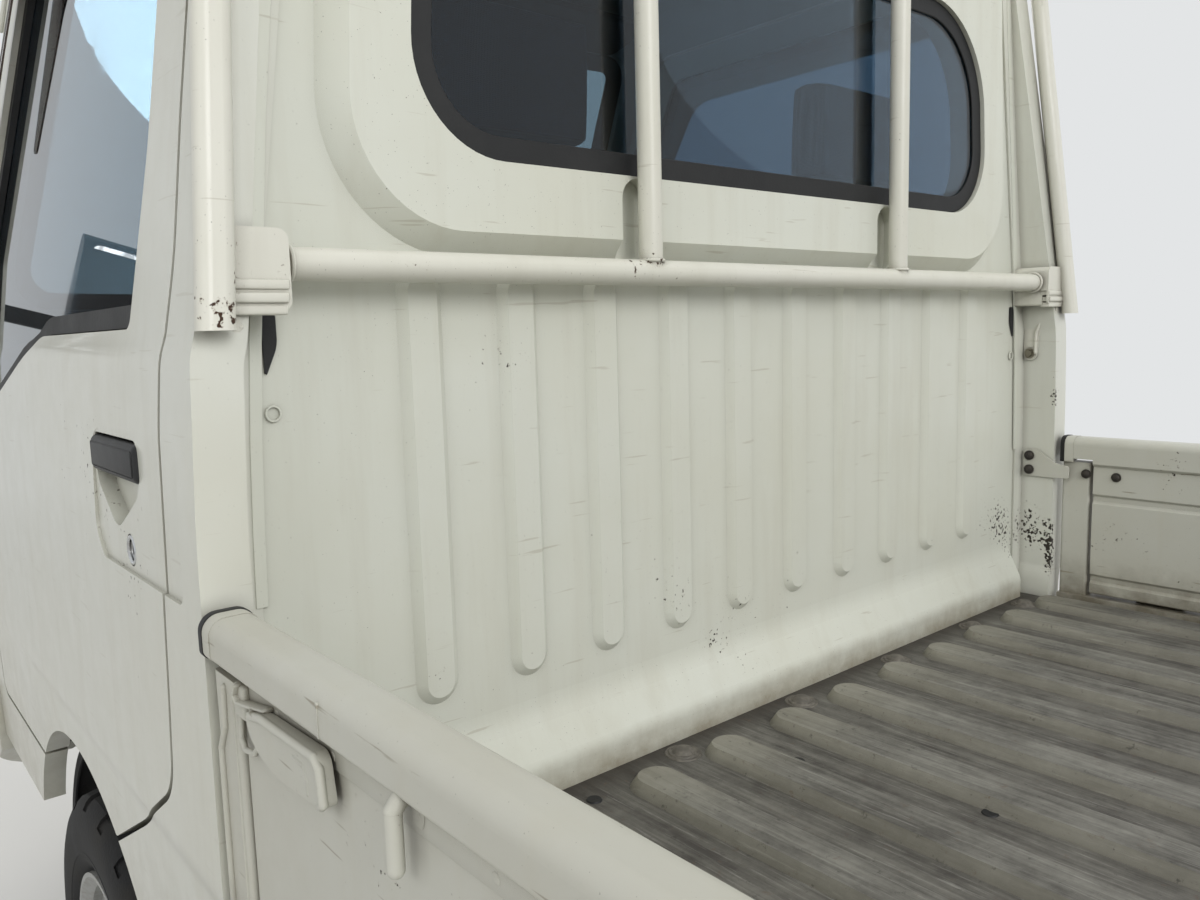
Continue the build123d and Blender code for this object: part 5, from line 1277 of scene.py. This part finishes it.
def drawNuts(bm, wheelX, sign):
    s = wheelTrim
    for index in range(s["nutCount"]):
        turn = math.tau * (index + 0.5) / s["nutCount"]
        place = Vector((wheelX + s["nutRing"] * math.sin(turn), sign * s["faceY"],
                        truck["axleZ"] + s["nutRing"] * math.cos(turn)))
        out = Vector((0, sign, 0))
        addRod(bm, place - out * 0.002, place + out * 0.003, s["nutRadius"] * 1.25, 20, s["nutRadius"])
        addRod(bm, place + out * 0.002, place + out * 0.012, s["nutRadius"], 6)
        addDome(bm, place + out * 0.0115, out, s["nutRadius"] * 0.8, 0.005)
    profile = [(0.0, s["capRadius"] + 0.0015), (0.002, s["capRadius"] + 0.0015), (0.0025, s["capRadius"]),
               (0.009, s["capRadius"] - 0.001), (0.0125, s["capRadius"] - 0.005), (0.0145, 0.012), (0.015, 0.0)]
    addSpun(bm, profile, (wheelX, sign * 0.6862, truck["axleZ"]), (0, sign, 0), 36)


def drawValve(bm, wheelX, sign):
    z = truck["axleZ"]
    addRod(bm, (wheelX, sign * 0.6815, z + 0.133), (wheelX, sign * 0.7005, z + 0.1275), 0.0042, 12, 0.003)
    addRod(bm, (wheelX, sign * 0.6995, z + 0.1278), (wheelX, sign * 0.7075, z + 0.1255), 0.0040, 12)


for end in ends:
    wheelX = truck[f"{end}AxleX"]
    for side, sign in sides.items():
        wheel = f"wheel_{end}_{side}"
        tag = f"{end.title()}{side.title()}"
        tread = makeOne(f"tyreTread{tag}", lambda bm: drawTyre(bm, wheelX, sign), tyreRubber, wheel, smooth=28)
        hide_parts(f"tyre_{end}_{side}")
        makeOne(f"wheelNuts{tag}", lambda bm: drawNuts(bm, wheelX, sign), zincPlate, wheel)
        makeOne(f"wheelValve{tag}", lambda bm: drawValve(bm, wheelX, sign), blackRubberAndShade, wheel)
print("wheels made")

# Front arch liners: ribbed half shells over the wheels
liner = {"radius": 0.335, "thick": 0.003, "y": (0.455, 0.680), "from": 22.0, "to": 158.0, "ribs": (0.50, 0.56, 0.62)}


def drawLiner(bm):
    s = liner
    centre = Vector((truck["frontAxleX"], 0.0, truck["axleZ"]))
    start = math.radians(s["from"])
    out = Vector((math.cos(start), 0.0, math.sin(start)))
    (lowY, highY), radius, thick = s["y"], s["radius"], s["thick"]
    section = [(lowY, radius), (lowY, radius + thick)]
    section += [(highY, radius + thick), (highY, radius - 0.012), (highY - thick, radius - 0.012),
                (highY - thick, radius)]
    for y in reversed(s["ribs"]):
        section += [(y + 0.010, radius), (y + 0.006, radius - 0.005), (y - 0.006, radius - 0.005),
                    (y - 0.010, radius)]
    verts = [bm.verts.new(centre + out * away + Vector((0, y, 0))) for y, away in section]
    face = bm.faces.new(verts)
    bmesh.ops.spin(bm, geom=[face, *face.edges, *verts], cent=centre, axis=(0, -1, 0),
                   angle=math.radians(s["to"] - s["from"]), steps=44)


makeBoth("archLiner", drawLiner, tyreRubber, slot="black_plastic")

# Mud flaps
flap = {"front": (0.428, 0.20, 0.4285), "rear": (-1.440, 0.20, 0.584), "y": (0.545, 0.705), "thick": 0.005}


def drawFlap(end):
    def draw(bm):
        x, lowZ, highZ = flap[end]
        lowY, highY = flap["y"]
        addPlate(bm, ((lowY, lowZ, 0.02), (highY, lowZ, 0.02), (highY - 0.004, highZ, 0.004), (lowY, highZ, 0.004)),
                 flap["thick"], onBack(x))
        for step in range(4):
            y = lowY + 0.025 + step * (highY - lowY - 0.05) / 3
            addBlock(bm, (x - 0.0018, y - 0.003, lowZ + 0.03), (x + 0.0005, y + 0.003, highZ - 0.06), 0.0008)
        addBlock(bm, (x - 0.003, lowY + 0.004, highZ - 0.024),
                 (x + flap["thick"] + 0.003, highY - 0.008, highZ - 0.002), 0.001)
    return draw


for end in ends:
    makeBoth(f"mudFlap{end.title()}", drawFlap(end), tyreRubber)

# Seats: crowned cushions, backrests and headrests with sewn channels
seat = {"y": 0.33, "divisions": 24, "round": 0.22, "channels": (-0.5, 0.5), "channelDeep": 0.007,
        "channelWide": 0.035}
pads = {
    "cushion": {"centre": (0.706, 0.0, 0.8125), "half": (0.252, 0.226, 0.056), "up": (-0.065, 0, 1), "crown": 0.020,
                "pull": 0.02},
    "backrest": {"centre": (0.4335, 0.0, 1.045), "half": (0.240, 0.222, 0.040), "up": (1, 0, 0.155), "crown": 0.016,
                 "pull": 0.03},
    "headrest": {"centre": (0.3815, 0.0, 1.4035), "half": (0.070, 0.121, 0.032), "up": (1, 0, 0.05), "crown": 0.008,
                 "pull": 0.05},
}


def addPad(bm, look, y, channels):
    # Crowned closed pad: rounded cube with pulled-in sides, a top crown and sewn lines
    up = Vector(look["up"]).normalized()
    across = Vector((0, 1, 0))
    along = across.cross(up)
    bmesh.ops.create_cube(bm, size=2.0)
    bmesh.ops.subdivide_edges(bm, edges=bm.edges[:], cuts=seat["divisions"] - 1, use_grid_fill=True)
    k = seat["round"]
    centre = Vector(look["centre"]) + across * y
    for vert in bm.verts:
        u, v, w = vert.co
        ru = u * math.sqrt(1 - k * (v * v + w * w) / 2 + k * k * v * v * w * w / 3)
        rv = v * math.sqrt(1 - k * (u * u + w * w) / 2 + k * k * u * u * w * w / 3)
        rw = w * math.sqrt(1 - k * (u * u + v * v) / 2 + k * k * u * u * v * v / 3)
        rv *= 1 - look["pull"] * (1 - u * u)
        ru *= 1 - look["pull"] * (1 - v * v)
        lift = look["crown"] * (1 - u ** 4) * (1 - v ** 4) if w > 0 else 0.0
        if w > 0.6:
            for line in channels:
                lift -= seat["channelDeep"] * math.exp(-((v - line) / seat["channelWide"]) ** 2)
            if abs(v) < 0.5:
                lift -= seat["channelDeep"] * 0.7 * math.exp(-((abs(u) - 0.75) / seat["channelWide"]) ** 2)
        halfU, halfV, halfW = look["half"]
        vert.co = centre + along * ru * halfU + across * rv * halfV + up * (rw * halfW + lift * w)


for side, sign in sides.items():
    for part, look in pads.items():
        lines = () if part == "headrest" else seat["channels"]
        pad = makeOne(f"seat{part.title()}{side.title()}", lambda bm: addPad(bm, look, sign * seat["y"], lines),
                      seatCloth, smooth=80, subdivide=1)
        if part == "cushion":
            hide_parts(f"seat_{side}")

    def drawSeatFrame(bm):
        for shift in (-0.06, 0.06):
            addRod(bm, (0.385, sign * seat["y"] + shift, 1.262), (0.383, sign * seat["y"] + shift, 1.355), 0.006, 14)
        addBlock(bm, (0.462, sign * seat["y"] - 0.20, 0.7406), (0.955, sign * seat["y"] + 0.20, 0.768), 0.006)
    makeOne(f"seatFrame{side.title()}", drawSeatFrame, blackPlastic)
print("seats made")

# Cab interior: instrument hood, vents, glove box, controls, pedals, door cards
cabin = {"dashFace": ((1.4405, 0.860), (1.4005, 1.000)), "driverY": -0.33}
column = {"place": Vector((1.265, cabin["driverY"], 1.085)), "axis": Vector((-0.62, 0, 0.785)).normalized()}


def drawHood(bm):
    y = cabin["driverY"]
    addBlock(bm, (1.405, y - 0.145, 1.085), (1.515, y + 0.145, 1.168), 0.022, 4)
    for low, high in ((-0.62, -0.52), (-0.135, -0.035), (0.035, 0.135), (0.52, 0.62)):
        addBlock(bm, (1.404, low, 1.020), (1.432, high, 1.066), 0.006)
    addBlock(bm, (1.392, -0.12, 0.915), (1.43, 0.12, 0.985), 0.005)
    addBlock(bm, (1.150, -0.035, 0.5602), (1.215, 0.035, 0.585), 0.01, 3)
    addRod(bm, (1.180, 0.0, 0.575), (1.135, 0.0, 0.800), 0.0055, 12)
    addBall(bm, (1.133, 0.0, 0.812), 0.021, (1.0, 1.0, 1.15))
    addBlock(bm, (0.700, -0.028, 0.7406), (0.860, 0.028, 0.765), 0.008)
    addPath(bm, [(0.730, 0.0, 0.765), (0.860, 0.0, 0.815)], 0.011, 12)


def drawGauges(bm):
    y = cabin["driverY"]
    for shift in (-0.055, 0.055):
        addRing(bm, (1.4052, y + shift, 1.128), (1, 0, 0), 0.033, 0.0022, 32, 8)
    for low, high in ((-0.61, -0.53), (-0.125, -0.045), (0.045, 0.125), (0.53, 0.61)):
        for z in (1.030, 1.0385, 1.047, 1.0555):
            addBlock(bm, (1.4025, low, z - 0.0012), (1.406, high, z + 0.0012), 0.0004)


def drawGloveLid(bm):
    (lowX, lowZ), (midX, midZ) = cabin["dashFace"]
    face = planeAt((lowX, 0, lowZ), (0, 1, 0), (midX - lowX, 0, midZ - lowZ))
    addPlate(bm, oblong((0.19, 0.035), (0.53, 0.135), 0.012), -0.004, face)
    addPlate(bm, oblong((0.33, 0.104), (0.39, 0.122), 0.006), -0.008, face)


# Pedals: how far right and how high each pad starts, its size and thickness
pedal = {"places": ((-0.235, 0.640), (-0.325, 0.655), (-0.415, 0.655)), "padX": 1.448, "lean": 0.35,
         "pad": ((-0.027, 0.0), (0.027, 0.062)), "thick": 0.009}


def drawPedals(bm):
    s = pedal
    for y, low in s["places"]:
        addPath(bm, [(1.500, y, 0.850), (1.475, y, 0.720), (s["padX"], y, low + 0.020)], 0.006, 10)
        pad = planeAt((s["padX"], y, low), (0, 1, 0), (s["lean"], 0, 1))
        addPlate(bm, oblong(*s["pad"], 0.006), -s["thick"], pad)


def drawStalks(bm):
    axis = column["axis"]
    root = column["place"] - axis * 0.075
    addRod(bm, root - axis * 0.05, root + axis * 0.028, 0.040, 28, 0.034)
    for sign in (-1, 1):
        addPath(bm, [root, root + Vector((0.0, sign * 0.115, 0.0)) + axis * 0.018,
                     root + Vector((0, sign * 0.150, 0)) + axis * 0.02], 0.0065, 12)


def drawHornPad(bm):
    profile = [(0.010, 0.060), (0.020, 0.058), (0.026, 0.048), (0.030, 0.030), (0.031, 0.0)]
    addSpun(bm, profile, column["place"], column["axis"], 40)


def drawSunVisor(bm):
    visor = planeAt((1.150, 0.33, 1.7300), (0, 1, 0), (-1, 0, 0.22))
    addPlate(bm, oblong((-0.19, 0.0), (0.19, 0.135), 0.02, 0.03), 0.012, visor)


def drawCabinMirror(bm):
    addPath(bm, [(1.178, 0, 1.745), (1.150, 0, 1.690)], 0.005, 10)
    addBlock(bm, (1.128, -0.115, 1.650), (1.148, 0.115, 1.705), 0.008, 3)


doorCard = {"outline": ((0.520, 0.700, 0.05), (0.560, 0.610, 0.05), (0.700, 0.580, 0.03), (1.320, 0.640, 0.03),
                        (1.320, 0.950, 0.03), (0.790, 1.085, 0.05), (0.420, 1.085, 0.03), (0.450, 0.860, 0.08)),
            "y": 0.6938, "thick": 0.005, "faceY": 0.692, "armRestY": 0.640, "winderX": 1.120, "winderZ": 0.860}


def drawDoorCard(bm):
    # Card with its arm rest, inner handle and window winder
    s = doorCard
    addPlate(bm, s["outline"], s["thick"], onSide(s["y"]))
    addBlock(bm, (0.640, s["armRestY"], 0.905), (1.010, s["faceY"], 0.940), 0.012, 3)
    addBlock(bm, (1.050, 0.676, 0.985), (1.150, s["faceY"], 1.005), 0.005)
    addRod(bm, (s["winderX"], 0.690, s["winderZ"]), (s["winderX"], 0.672, s["winderZ"]), 0.022, 20, 0.018)
    addPath(bm, [(s["winderX"], 0.675, s["winderZ"]), (1.060, 0.670, 0.846)], 0.006, 10)


makeOne("dashHood", drawHood, blackPlastic)
makeOne("dashVentsAndDials", drawGauges, greyPlastic)
makeOne("gloveLid", drawGloveLid, greyPlastic, bevel=0.001)
makeOne("pedals", drawPedals, blackPlastic)
makeOne("columnStalks", drawStalks, blackPlastic)
makeOne("hornPad", drawHornPad, blackPlastic, "steering_wheel")
makeBoth("sunVisor", drawSunVisor, greyPlastic, bevel=0.002)
makeOne("cabinMirror", drawCabinMirror, blackPlastic)
makeBoth("doorCard", drawDoorCard, greyPlastic, "door_{side}", bevel=0.0015)
print("interior made")

# Roof: rain gutters over the doors
gutter = {"low": 0.0045}


def drawGutter(bm):
    points = [(0.285, skinY(1.728) + 0.002, 1.722), (0.420, skinY(1.730) + 0.002, 1.731),
              (1.070, skinY(1.730) + 0.002, 1.731), (1.155, skinY(1.700) + 0.002, 1.690),
              (1.215, skinY(1.605) + 0.002, 1.600)]
    addPath(bm, points, gutter["low"], 10)


makeBoth("roofGutter", drawGutter, cabPaint)

# Under the truck: spring bands and U-bolts, tank straps and filler
under = {"springY": 0.33, "bandX": (-1.345, -0.845), "bandZ": 0.338, "strapX": (-0.29, 0.01), "fillerX": 0.02}


def drawSpringBands(bm):
    springY, bandZ, axleX = under["springY"], under["bandZ"], truck["rearAxleX"]
    for x in under["bandX"]:
        addBlock(bm, (x - 0.014, springY - 0.029, bandZ - 0.012), (x + 0.014, springY + 0.029, bandZ + 0.040), 0.003)
    # U-bolts and their plate
    for shift in (-0.045, 0.045):
        for y in (springY - 0.033, springY + 0.033):
            addRod(bm, (axleX + shift, y, 0.205), (axleX + shift, y, 0.345), 0.0058, 12)
    addBlock(bm, (axleX - 0.06, springY - 0.045, 0.222), (axleX + 0.06, springY + 0.045, 0.2345), 0.003)


def drawTankFittings(bm):
    # Two straps round the tank, the filler's neck and its cap
    for x in under["strapX"]:
        addBlock(bm, (x - 0.015, 0.6355, 0.335), (x + 0.015, 0.6400, 0.512), 0.001)
        addBlock(bm, (x - 0.015, 0.370, 0.2985), (x + 0.015, 0.615, 0.3025), 0.001)
    x = under["fillerX"]
    addPath(bm, [(x, 0.600, 0.505), (x, 0.628, 0.555), (x, 0.672, 0.572)], 0.017, 16)
    addRod(bm, (x, 0.668, 0.5715), (x, 0.690, 0.5765), 0.027, 24, 0.025)


makeBoth("springBands", drawSpringBands, castIron)
makeOne("tankFittings", drawTankFittings, chassisBlack)
print("underside made")
